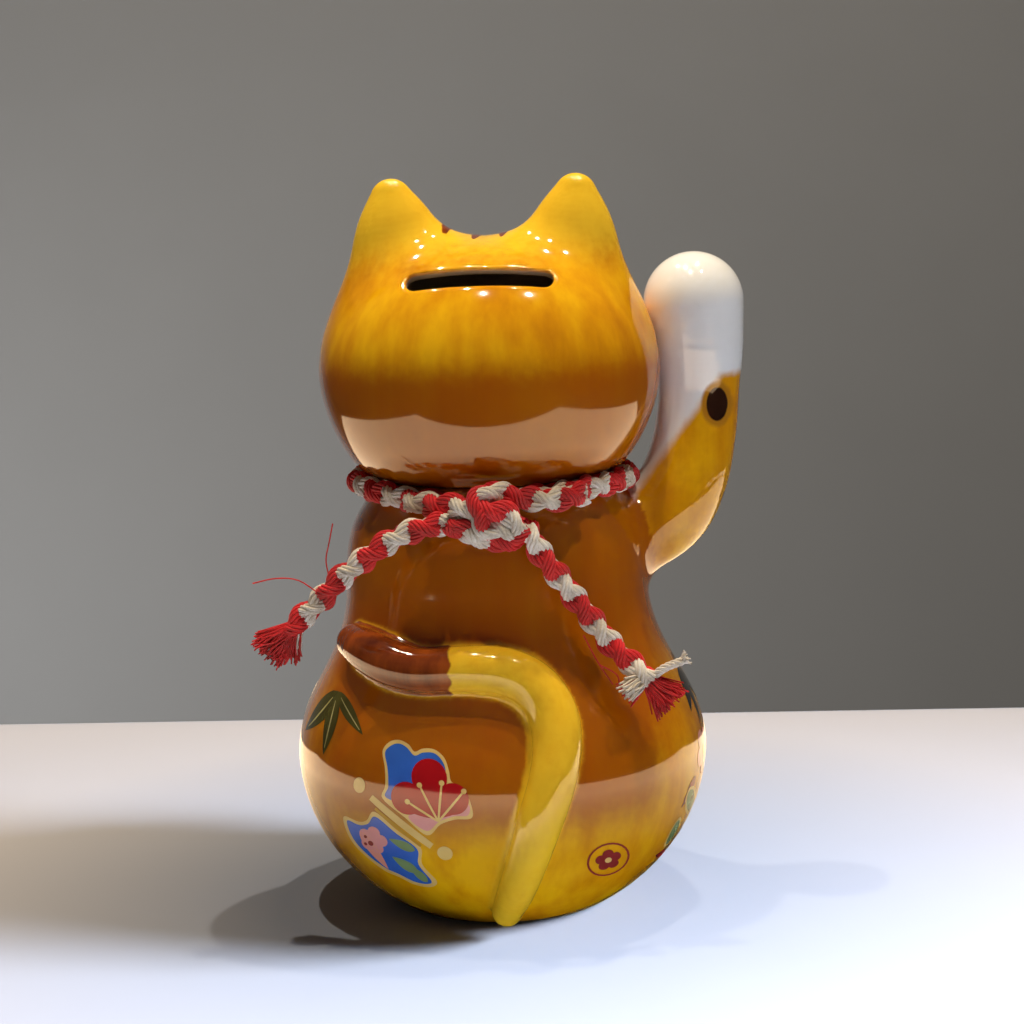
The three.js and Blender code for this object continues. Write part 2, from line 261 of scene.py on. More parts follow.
def yarnMaterial(name, colour, shade, roughness, sheen):
    material, tree, shader = newMaterial(name)
    place = addNode(tree, "ShaderNodeTexCoord")
    # 0.25 mm fibres; drawn at 0.5 mm so that they show
    fibres = addNode(tree, "ShaderNodeTexNoise", {"Scale": perMetre / 0.5, "Detail": 3},
                     {"Vector": place.outputs["Object"]})
    patches = addNode(tree, "ShaderNodeTexNoise", {"Scale": 130, "Detail": 2},
                      {"Vector": place.outputs["Object"]})
    mixed = addNode(tree, "ShaderNodeMath", {"operation": "MULTIPLY_ADD", 1: 0.5},
                    {0: fibres.outputs["Fac"], 2: patches.outputs["Fac"]})
    ramp = addNode(tree, "ShaderNodeValToRGB", links={"Fac": mixed.outputs["Value"]})
    ramp.color_ramp.elements[0].position = 0.45
    ramp.color_ramp.elements[0].color = linear(shade)
    ramp.color_ramp.elements[1].position = 0.95
    ramp.color_ramp.elements[1].color = linear(colour)
    bump = addNode(tree, "ShaderNodeBump", {"Strength": 0.5, "Distance": 0.0001},
                   {"Height": fibres.outputs["Fac"]})
    tree.links.new(ramp.outputs["Color"], shader.inputs["Base Color"])
    tree.links.new(bump.outputs["Normal"], shader.inputs["Normal"])
    shader.inputs["Roughness"].default_value = roughness
    shader.inputs["Sheen Weight"].default_value = sheen
    shader.inputs["Sheen Roughness"].default_value = 0.5
    shader.inputs["Specular IOR Level"].default_value = 0.3
    return material


# dyed cotton with a little shine along the fibres, and a matte undyed cotton
redYarn = yarnMaterial("redCottonYarn", "#dd1218", "#97070c", 0.65, 0.08)
whiteYarn = yarnMaterial("whiteCottonYarn", "#ece0ca", "#b5a387", 0.85, 0.15)

collar = dict(height=121, side=37.6, back=34.88, front=37.48, opening=(108, 432), sag=1.4, ripple=0.5)
# the free ends follow the frame's own routes
leftRoute = [(8.6, 42, 115.6), (21.7, 42.5, 112.2), (35.7, 41, 103), (44.5, 39, 94.5), (50, 38, 89.3)]
rightRoute = [(-11.6, 42, 113.4), (-16.5, 41.5, 104.6), (-22.8, 40, 95.5), (-29.2, 39, 86.2),
              (-35.1, 39, 78.7), (-40.9, 40, 73.4)]
leftTip = (58.8, 36, 79.2)
rightTip = (-48.2, 41, 65.8)


def buildCollar():
    # the loop goes round the neck and its two ends meet under the knot
    angle = np.linspace(np.radians(collar["opening"][0]), np.radians(collar["opening"][1]), 260)
    depth = np.where(np.sin(angle) < 0, collar["front"], collar["back"])
    lift = collar["ripple"] * np.sin(angle * 3 + 1) - collar["sag"] * np.clip(np.sin(angle), 0, 1) ** 3
    line = np.stack([np.cos(angle) * collar["side"], np.sin(angle) * depth, collar["height"] + lift], axis=1)
    placeCord(braidMesh("collarLoop", evenly(line, braid["spacing"]), 0.6), "collar_cord")


def buildFreeEnd(name, node, route, tip, start):
    # the braid holds for the first third of the way from the route's end to the tip of the fray
    bound = tuple(np.array(route[-1]) * 0.7 + np.array(tip) * 0.3)
    whole = smoothPath(list(route) + [bound], braid["spacing"])
    piece = braidMesh(name, whole, start)
    placeCord(piece, node)
    return piece, whole


buildCollar()
leftEnd, leftLine = buildFreeEnd("cordEndLeft", "cord_end_left", leftRoute, leftTip, 0.4)
rightEnd, rightLine = buildFreeEnd("cordEndRight", "cord_end_right", rightRoute, rightTip, 1.7)


def buildKnot():
    # a half knot: one end crosses over the other and comes out below it
    over = [(20, 33, 119.5), (10, 39.5, 119.6), (1, 43.6, 119), (-5.5, 44.8, 118.4), (-9.6, 43.4, 114),
            (-9.2, 41.8, 111.4), (-4, 42.4, 110.4), (3, 43, 112.6), (8.8, 42.2, 115.5)]
    under = [(-27, 29.5, 120.4), (-17, 37.6, 120), (-9, 39.6, 121.4), (-2.2, 42.2, 123.2), (1.2, 44.6, 119.6),
             (-1.5, 44.9, 114.4), (-6.6, 43.6, 112.6), (-11.6, 42.2, 113.2)]
    placeCord(braidMesh("knotOver", smoothPath(over, braid["spacing"]), 2.2), "collar_knot")
    placeCord(braidMesh("knotUnder", smoothPath(under, braid["spacing"]), 0.9))


buildKnot()

def threadBunch(seed, start, along, count, reach, spread, curl, shift=1.9, opening=1.3):
    # loose threads that leave the cut end and fan out
    rng = np.random.default_rng(seed)
    along = np.asarray(along, dtype=float)
    along /= np.linalg.norm(along)
    side = np.cross(along, (0, 1, 0))
    side /= np.linalg.norm(side)
    up = np.cross(side, along)
    lines = []
    for _ in range(count):
        turn = rng.uniform(0, 2 * np.pi)
        out = np.sqrt(rng.uniform(0, 1))
        way = side * np.cos(turn) + up * np.sin(turn) * 0.7
        long = reach * rng.uniform(0.72, 1.04)
        t = np.linspace(0, 1, 14)[:, None]
        wave = np.sin(t * rng.uniform(2, 7) + rng.uniform(0, 6)) * curl * t
        sway = side * np.cos(turn + 1.6) + up * np.sin(turn + 1.6)
        fanned = way * out * (shift + spread * t ** opening)
        lines.append(np.asarray(start) + fanned + along * long * t + sway * wave)
    return lines


def inSteps(line, count):
    order = np.arange(len(line))
    return sampled(line, np.linspace(0, len(line) - 1, count), order)


def looseThread(points):
    return [inSteps(smoothPath(points, 0.3), 14)]


def twistedStrand(points, radius, count):
    # a strand of the braid that has come loose but kept its twist
    line = inSteps(evenly(smoothPath(points, 0.4), 0.4), 40)
    return yarnsOf(line, count, 7.0, radius)


def buildFray(name, node, groups):
    piece = threadMesh(name, groups, 5)
    placeCord(piece, node)
    return piece


# the left end: a dense red tuft that opens towards the left, a short white one under it, two stray threads
leftStart, leftWay = leftLine[-1], np.array(leftTip) - leftLine[-6]
leftRoot = leftStart - leftWay * 0.12
leftFray = buildFray("frayLeft", "fray_left", [
    (threadBunch(3, leftRoot, leftWay + np.array((1.5, 0, 1)), 230, 12.5, 4.0, 0.9), 0, 0.22),
    (threadBunch(13, leftRoot, leftWay + np.array((-3, 0, -5)), 80, 10.5, 2.4, 0.7), 0, 0.22),
    (threadBunch(4, leftRoot, leftWay + np.array((-4, 0, -3)), 22, 7.5, 1.4, 0.5), 1, 0.3),
    (looseThread([(45, 41, 97), (50, 41.5, 100.5), (56, 41, 101), (62.5, 40, 99.6)]), 0, 0.2),
    (looseThread([(40.5, 37.5, 115), (41.6, 38, 110), (42.6, 38.5, 105.5), (42, 39.5, 101.5)]), 0, 0.2)])
# the right end: a twisted white strand sticks out, the red is cut short and fans down
rightStart, rightWay = rightLine[-1], np.array(rightTip) - rightLine[-6]
rightRoot = rightStart - rightWay * 0.12
rightFray = buildFray("frayRight", "fray_right", [
    (threadBunch(5, rightRoot, rightWay, 190, 10.5, 4.2, 0.7), 0, 0.22),
    (threadBunch(15, rightRoot, rightWay + np.array((4, 0, -2)), 60, 8, 2, 0.6), 0, 0.22),
    (threadBunch(6, rightRoot, rightWay + np.array((2, 1, 0)), 30, 8.5, 1.6, 0.5), 1, 0.3),
    (twistedStrand([rightStart, rightStart + (-4, 1, 3.4), rightStart + (-9, 1, 5.4)], 0.75, 5), 1, 0.42),
    (threadBunch(7, rightStart + np.array((-8.6, 1, 5.2)), (-1, 0, 0.6), 30, 2.4, 1.6, 0.5, 0.6), 1, 0.18),
    (looseThread([(-26, 41.5, 84), (-29.5, 42, 77), (-33.5, 42, 70.5)]), 0, 0.2),
    (looseThread([(-30, 42, 76), (-34.5, 42.5, 73.4), (-35.2, 42, 70)]), 0, 0.2)])

print("cord braided, tied and frayed")


def bezier(a, b, c, d, steps=300):
    t = np.linspace(0, 1, steps)[:, None]
    a, b, c, d = (np.asarray(v, dtype=float) for v in (a, b, c, d))
    return a * (1 - t) ** 3 + 3 * b * t * (1 - t) ** 2 + 3 * c * t ** 2 * (1 - t) + d * t ** 3


def smoothMin(a, b, k):
    h = np.clip(0.5 + 0.5 * (b - a) / k, 0, 1)
    return b + (a - b) * h - k * h * (1 - h)


def smoothStep(t):
    t = np.clip(t, 0, 1)
    return t * t * (3 - 2 * t)


neckHeight = nodeHigh("torso_shell")[2]
headBase = nodeLow("head_shell")[2]
bellyRadius = nodeHigh("torso_shell")[0]
cheekRadius = nodeHigh("head_shell")[0]
earTop = nodeHigh("head_shell")[2]
cheekHeight = 151
crownHeight = 188.5

torso = dict(foot=29, belly=bellyRadius, bellyHeight=43, waist=42.3, waistHeight=94, neck=34, wall=4.5,
             depth=0.92, recess=4, ringWidth=6, filler=15, edge=0.8)
head = dict(neckDepth=0.92, depth=0.84, wall=4.5, slotHalf=17.2, slotRadius=2.6, slotAt=(26.5, 179),
            slotTilt=22, slotLip=1.3)

belly, bellyHeight = torso["belly"], torso["bellyHeight"]
waist, waistHeight = torso["waist"], torso["waistHeight"]
torsoEdge = np.vstack([
    bezier((torso["foot"], 0), (torso["foot"] + 7, 3), (belly - 1, bellyHeight - 26), (belly, bellyHeight)),
    bezier((belly, bellyHeight), (belly, bellyHeight + 20), (waist, waistHeight - 24),
           (waist, waistHeight))[1:],
    bezier((waist, waistHeight), (waist, waistHeight + 20), (torso["neck"], neckHeight - 9),
           (torso["neck"], neckHeight))[1:]])
headEdge = bezier((torso["neck"], headBase), (38.5, 124.2), (cheekRadius, 138), (cheekRadius, cheekHeight))
torsoSlope = np.gradient(torsoEdge[:, 0], torsoEdge[:, 1])
headSlope = np.gradient(headEdge[:, 0], headEdge[:, 1])


def torsoDepth(z):
    return 1 + (torso["depth"] - 1) * np.sin(np.pi / 2 * np.clip(z / neckHeight, 0, 1))


def headDepth(z):
    share = smoothStep((z - neckHeight) / (cheekHeight - neckHeight))
    return head["neckDepth"] + (head["depth"] - head["neckDepth"]) * share


def turnedField(p, edge, slope, depth):
    z = p[:, 2]
    d = depth(z)
    r = np.hypot(p[:, 0], p[:, 1] / d)
    spread = r / np.maximum(np.hypot(p[:, 0], p[:, 1] / d ** 2), 1e-6)
    steep = np.interp(z, edge[:, 1], slope)
    return (r - np.interp(z, edge[:, 1], edge[:, 0])) * spread / np.sqrt(1 + steep ** 2)


def ellipsoidField(p, middle, radii):
    q = p - np.asarray(middle, dtype=float)
    radii = np.asarray(radii, dtype=float)
    far = np.linalg.norm(q / radii, axis=1)
    near = np.maximum(np.linalg.norm(q / radii ** 2, axis=1), 1e-9)
    return far * (far - 1) / near


def chainField(p, line, radii):
    # distance to a row of balls joined smoothly: the nearest stretch of a fine polyline
    best = np.full(len(p), 1e9)
    for a, b, ra, rb in zip(line[:-1], line[1:], radii[:-1], radii[1:]):
        run = b - a
        t = np.clip((p - a) @ run / (run @ run), 0, 1)
        best = np.minimum(best, np.linalg.norm(p - a - t[:, None] * run, axis=1) - (ra + (rb - ra) * t))
    return best


def chain(points, radii, spacing=1.6):
    # even points along a smooth curve, each with its radius
    points = np.asarray(points, dtype=float)
    dense = curveThrough(np.hstack([points, np.asarray(radii, dtype=float)[:, None]]), 24)
    gone = goneAlong(dense[:, :3])
    line = sampled(dense, np.linspace(0, gone[-1], int(gone[-1] / spacing) + 2), gone)
    return line[:, :3], line[:, 3]


def torsoSkin(p):
    return turnedField(p, torsoEdge, torsoSlope, torsoDepth)


def skinDepth(x, z):
    # how far the torso's skin stands behind the middle
    r = np.interp(z, torsoEdge[:, 1], torsoEdge[:, 0])
    return float(torsoDepth(z) * np.sqrt(max(r * r - x * x, 0)))


def headSkin(p):
    z = p[:, 2]
    low = turnedField(p, headEdge, headSlope, headDepth)
    rise = crownHeight - cheekHeight
    high = ellipsoidField(p, (0, 0, cheekHeight), (cheekRadius, cheekRadius * head["depth"], rise))
    return np.where(z < cheekHeight, low, high)


# each limb is a row of balls: places of the middle and radii
arm = dict(spots=[(-30, -7, 101), (-40, -8, 103.5), (-48.5, -9.5, 109.5), (-54, -11, 119), (-57, -12, 131),
                  (-58.3, -12, 144), (-58, -12, 156), (-57.3, -12, 167.6)],
           radii=[11, 12.2, 12.8, 12.2, 11.6, 11.5, 13, 14.1], spotAt=(-63.2, 139.6))
# across, height and radius, from the tip to the foot ring
tail = dict(proud=2, tipEnd=9.5, spots=[
    (38, 79.5, 5.0), (33, 78.2, 6.1), (26, 76.3, 6.4), (18, 75.2, 6.0), (7, 76, 6.2), (-4, 75.3, 6.6),
    (-12, 71.5, 6.8), (-17, 65, 6.8), (-18.6, 57, 6.6), (-17, 47, 6.3), (-12.6, 34, 6), (-7, 18, 5.2),
    (-3, 8, 4.2)])
foreleg = dict(proud=2, spots=[(31.3, 98, 11), (31.3, 86, 11.2), (28.3, 72, 10.8), (22.3, 60, 10.4),
                               (16.3, 50.5, 11)])
foot = dict(spread=20, middle=8.5, half=(12.5, 15, 9.5), turn=12, toeAt=3.9, toeCut=2.2)

armLine, armRadii = chain(arm["spots"], arm["radii"])
tailLine, tailRadii = chain([(x, skinDepth(x, z) + tail["proud"], z) for x, z, _ in tail["spots"]],
                            [r for _, _, r in tail["spots"]])
forelegLine, forelegRadii = chain(
    [(x, -skinDepth(x, z) - foreleg["proud"], z) for x, z, _ in foreleg["spots"]],
    [r for _, _, r in foreleg["spots"]])


def footField(p, side):
    turn = math.radians(foot["turn"]) * side
    y = -skinDepth(foot["spread"], foot["middle"]) - foot["half"][1] * 0.7
    q = p - np.array((side * foot["spread"], y, foot["middle"]))
    c, s = math.cos(turn), math.sin(turn)
    q = np.stack([q[:, 0] * c + q[:, 1] * s, -q[:, 0] * s + q[:, 1] * c, q[:, 2]], axis=1)
    toes = ellipsoidField(q, (0, 0, 0), foot["half"])
    for x in (-foot["toeAt"], foot["toeAt"]):
        # two shallow grooves part the toes
        groove = np.hypot(q[:, 0] - x, q[:, 1] + foot["half"][1] + 1.5) - foot["toeCut"]
        toes = -smoothMin(-toes, groove, 1.6)
    return toes


bodyParts = {
    "torso_shell": torsoSkin,
    "raised_arm": lambda p: chainField(p, armLine, armRadii),
    "tail": lambda p: chainField(p, tailLine, tailRadii),
    "left_foreleg": lambda p: chainField(p, forelegLine, forelegRadii),
    "left_foot": lambda p: footField(p, 1),
    "right_foot": lambda p: footField(p, -1)}
bodyBlend = {"raised_arm": 7, "tail": 1.6, "left_foreleg": 4, "left_foot": 3, "right_foot": 3}


def bodyField(p):
    skin = torsoSkin(p)
    whole = skin
    for node, k in bodyBlend.items():
        low, high = nodeLow(node) - 14, nodeHigh(node) + 14
        near = np.all((p > low) & (p < high), axis=1)
        part = whole.copy()
        part[near] = smoothMin(whole[near], bodyParts[node](p[near]), k)
        whole = part
    wall, base = torso["wall"], torso["recess"] + torso["wall"]
    z = p[:, 2]
    r = np.hypot(p[:, 0], p[:, 1])
    hollow = np.maximum(skin + wall, base - z)
    recess = np.maximum(r - (torso["foot"] - torso["ringWidth"]), z - torso["recess"])
    filler = np.maximum(r - torso["filler"], z - base - 2)
    edge = torso["edge"]
    whole = -smoothMin(-whole, smoothMin(hollow, smoothMin(recess, filler, edge), edge), edge)
    # the foot ring stands flat, and the neck is cut flat for the head; the arm goes on past it
    whole = -smoothMin(-whole, z, edge)
    overNeck = np.hypot(p[:, 0], p[:, 1]) < torso["neck"] + 7
    return np.where(overNeck, np.maximum(whole, z - neckHeight), whole)


ear = dict(spots=[(19.5, 0, 160), (21.8, 0, 171), (24, 0, 187), (25.5, 0, earTop - 6)],
           radii=[21, 17.6, 12.4, 6], depth=0.72, blend=9, above=140)
earLine, earRadii = chain(ear["spots"], ear["radii"])


def headField(p):
    skin = headSkin(p)
    q = np.stack([np.abs(p[:, 0]), p[:, 1] / ear["depth"], p[:, 2]], axis=1)
    high = p[:, 2] > ear["above"]
    ears = np.where(high, 0.0, 1e3)
    ears[high] = chainField(q[high], earLine, earRadii) * 0.8
    whole = smoothMin(skin, ears, ear["blend"])
    whole = np.maximum(whole, -(skin + head["wall"]))
    ends = np.maximum(np.abs(p[:, 0]) - head["slotHalf"], 0)
    tilt = math.radians(head["slotTilt"])
    across = (p[:, 2] - head["slotAt"][1]) * math.cos(tilt) - (p[:, 1] - head["slotAt"][0]) * math.sin(tilt)
    slot = np.maximum(np.hypot(ends, across) - head["slotRadius"], 10 - p[:, 1])
    whole = -smoothMin(-whole, slot, head["slotLip"])
    return np.maximum(whole, headBase - p[:, 2])


def gradient(field, p, h=0.25):
    g = np.empty_like(p)
    for i in range(3):
        step = np.zeros(3)
        step[i] = h
        g[:, i] = field(p + step) - field(p - step)
    return g / (2 * h)


def meshField(field, low, high, step, coarse=4):
    # a net of quads over the skin of a field, pulled onto it and evened out
    low, high = np.asarray(low, dtype=float), np.asarray(high, dtype=float)
    blocks = np.ceil((high - low) / (step * coarse)).astype(int)
    size = blocks * coarse + 1
    b = np.stack(np.meshgrid(*[np.arange(n) for n in blocks], indexing="ij"), axis=-1).reshape(-1, 3)
    middles = low + (b + 0.5) * step * coarse
    rough = field(middles).reshape(blocks)
    near = np.abs(rough) < step * coarse * 1.25
    values = np.empty(size, dtype=np.float32)
    fill = np.where(rough < 0, -99.0, 99.0)
    spread = np.repeat(np.repeat(np.repeat(fill, coarse, 0), coarse, 1), coarse, 2)
    values[:-1, :-1, :-1] = spread
    values[-1], values[:, -1], values[:, :, -1] = 99, 99, 99
    wanted = np.zeros(size, dtype=bool)
    for corner in np.argwhere(near):
        i, j, k = corner * coarse
        wanted[i:i + coarse + 1, j:j + coarse + 1, k:k + coarse + 1] = True
    spots = np.argwhere(wanted)
    found = np.empty(len(spots))
    for first in range(0, len(spots), 200000):
        part = spots[first:first + 200000]
        found[first:first + 200000] = field(low + part * step)
    values[wanted] = found
    inside = values < 0
    corners = [(i, j, k) for i in (0, 1) for j in (0, 1) for k in (0, 1)]
    n = [s - 1 for s in size]
    count = sum(inside[i:n[0] + i, j:n[1] + j, k:n[2] + k].astype(np.int8) for i, j, k in corners)
    cells = np.argwhere((count > 0) & (count < 8))
    index = np.full(tuple(n), -1, dtype=np.int64)
    index[tuple(cells.T)] = np.arange(len(cells))
    total = np.zeros((len(cells), 3))
    crossings = np.zeros(len(cells))
    for a in corners:
        for axis in range(3):
            if a[axis]:
                continue
            c = tuple(v + (i == axis) for i, v in enumerate(a))
            va = values[tuple((cells + a).T)].astype(float)
            vc = values[tuple((cells + c).T)].astype(float)
            cross = (va < 0) != (vc < 0)
            t = np.where(cross, va / np.where(cross, va - vc, 1), 0)
            spot = np.asarray(a, dtype=float)[None, :] + t[:, None] * (np.asarray(c) - np.asarray(a))
            total += np.where(cross[:, None], spot, 0)
            crossings += cross
    points = low + (cells + total / crossings[:, None]) * step
    quads = []
    for axis in range(3):
        u, v = [i for i in range(3) if i != axis]
        here = [slice(1, n[i]) for i in range(3)]
        here[axis] = slice(0, n[axis])
        there = list(here)
        there[axis] = slice(1, n[axis] + 1)
        first, second = inside[tuple(here)], inside[tuple(there)]
        spots = np.argwhere(first != second)
        start = np.array([0 if i == axis else 1 for i in range(3)])
        solid = first[tuple(spots.T)]
        at = spots + start
        stepU = np.array([int(i == u) for i in range(3)])
        stepV = np.array([int(i == v) for i in range(3)])
        ring = np.stack([index[tuple((at - stepU - stepV).T)], index[tuple((at - stepV).T)],
                         index[tuple(at.T)], index[tuple((at - stepU).T)]], axis=1)
        if axis == 1:
            solid = ~solid
        ring[~solid] = ring[~solid][:, ::-1]
        quads.append(ring)
    quads = np.vstack(quads)
    edges = np.vstack([quads[:, [0, 1]], quads[:, [1, 2]], quads[:, [2, 3]], quads[:, [3, 0]]])
    both = np.vstack([edges, edges[:, ::-1]])
    degree = np.bincount(both[:, 0], minlength=len(points))[:, None]
    for relax in (0.6, 0.6, 0.5, 0):
        if relax:
            mean = np.stack([np.bincount(both[:, 0], weights=points[both[:, 1], i], minlength=len(points))
                             for i in range(3)], axis=1) / degree
            points = points + (mean - points) * relax
        for _ in range(2):
            g = gradient(field, points, 0.12)
            move = field(points)[:, None] * g / np.maximum((g * g).sum(1), 0.3)[:, None]
            long = np.maximum(np.linalg.norm(move, axis=1)[:, None] / (step * 0.6), 1)
            points = points - move / long
    g = gradient(field, points, 0.3)
    normals = g / np.maximum(np.linalg.norm(g, axis=1), 1e-6)[:, None]
    return points, quads, normals


def strokeMark(p, a, b, wide):
    # a brush stroke that is full in the middle and thin at its ends
    a, b = np.asarray(a, dtype=float), np.asarray(b, dtype=float)
    run = b - a
    t = np.clip((p - a) @ run / (run @ run), 0, 1)
    far = np.linalg.norm(p - a - t[:, None] * run, axis=1)
    return wide * np.sqrt(np.clip(1 - (2 * t - 1) ** 2 * 0.85, 0, 1)) - far


def bodyPaint(p):
    x, y, z = p.T
    fromArm = chainField(p, armLine, armRadii)
    nearArm = (fromArm < 1.6) & (x < -34)
    # the paw and the inner side of the arm are white down to the elbow
    inner = np.maximum((x + 63) * 0.8 + (z - 146) * 0.6, z - 148)
    pawWhite = np.minimum.reduce([inner, z - 114, (1.6 - fromArm) * 3, -35 - x])
    bib = 27 - np.hypot(x, (z - 52) * 0.78)
    belly = np.where(y < 0, bib, -9)
    feet = np.where(y < -30, np.maximum(-footField(p, 1), -footField(p, -1)) + 1.2, -9)
    leg = chainField(p, forelegLine, forelegRadii)
    pawFront = np.where(y < 0, np.minimum(60 - z + 0.2 * x, (1.4 - leg) * 3), -9)
    white = np.maximum.reduce([pawWhite, belly, feet, pawFront])
    onTail = np.where(y > 0, 0.9 - chainField(p, tailLine, tailRadii), -9)
    brown = np.minimum(onTail, (x - tail["tipEnd"] + 0.5 * np.sin(z * 1.3)) * 0.6)
    # tabby stripes on the flanks below the collar
    for side in (-1, 1):
        for height, front in ((112, 6), (102.5, -3)):
            back = 16 if side > 0 else -2
            a = (side * 36, front + back, height)
            b = (side * (41 - height * 0.02), front - 8, height - 4)
            brown = np.maximum(brown, strokeMark(p, a, b, 2.0))
    spotX, spotZ = arm["spotAt"]
    spot, ring = (np.where(nearArm & (y > -14), 1 - np.hypot((x - spotX) / wide, (z - spotZ) / tall), -1)
                  for wide, tall in ((3.0, 4.8), (4.4, 6.4)))
    bare = np.maximum(0.9 - z, -torsoSkin(p) - 1.5)
    # painted shade, partly also a real deeper stain: the torso darkens above the lowest belly, where the head
    # shades the upper back and the tail the belly below it; less towards the sides and the chest, none on the
    # tail or the arm
    sides = 1 - 0.6 * smoothStep((np.abs(x) - 38) / 14)
    chest = 1 - 0.5 * smoothStep(-y / 20)
    shade = smoothStep((z - 24) / 20) * sides * chest * (1 - 0.8 * smoothStep(onTail + 1)) - 0.5
    return {"white": white, "brown": brown, "yellow": onTail, "spot": spot * 3, "ring": ring * 4,
            "bare": bare, "shade": np.where(fromArm < 1, np.minimum(shade, -0.2), shade)}


def headPaint(p):
    x, y, z = p.T
    # three strokes run over the crown from the forehead
    fromAbove = p * (1, 1, 0)
    marks = [np.minimum(strokeMark(fromAbove, (a, back, 0), (b, -21, 0), 1.5), z - 170)
             for a, b, back in ((10.6, 9, 5.5), (2.4, 1, 6.5), (-5.2, -6, 5.5))]
    marks += [strokeMark(p, (side * 47, -2, h), (side * 41, -20, h - 3), 1.7)
              for side in (-1, 1) for h in (154, 147)]
    brown = np.maximum.reduce(marks)
    face = 24 - np.hypot(x * 0.75, z - 137)
    white = np.where(y < 0, face, -9)
    unpainted = np.full(len(p), -9.0)
    # shade: painted shade on the lower head, partly also a real deeper stain, darker below the cheeks, which
    # face sideways away from the light above
    return {"white": white, "brown": brown, "yellow": np.clip((z - 184) / 5, -9, 1.2), "spot": unpainted,
            "ring": unpainted,
            "bare": -headSkin(p) - 1.1, "shade": 0.5 - smoothStep((z - 148) / 16)}


# shade is the colour of the painted shade, partly a real deeper stain, on the neck, the back and the lower
# head
glaze = dict(deep="#b86604", amber="#df9504", gold="#f5b60c", yellow="#fccb2e", shade="#a64c03",
             white="#f1ece1", brown="#6a2a0c", brownLight="#a04a14", spot="#2c1206", ring="#b87818",
             bare="#cbb9a0", streakAcross=3.2, streakAlong=38, poolSize=34, wobbleSize=2.6, waveSize=22,
             roughness=0.07)


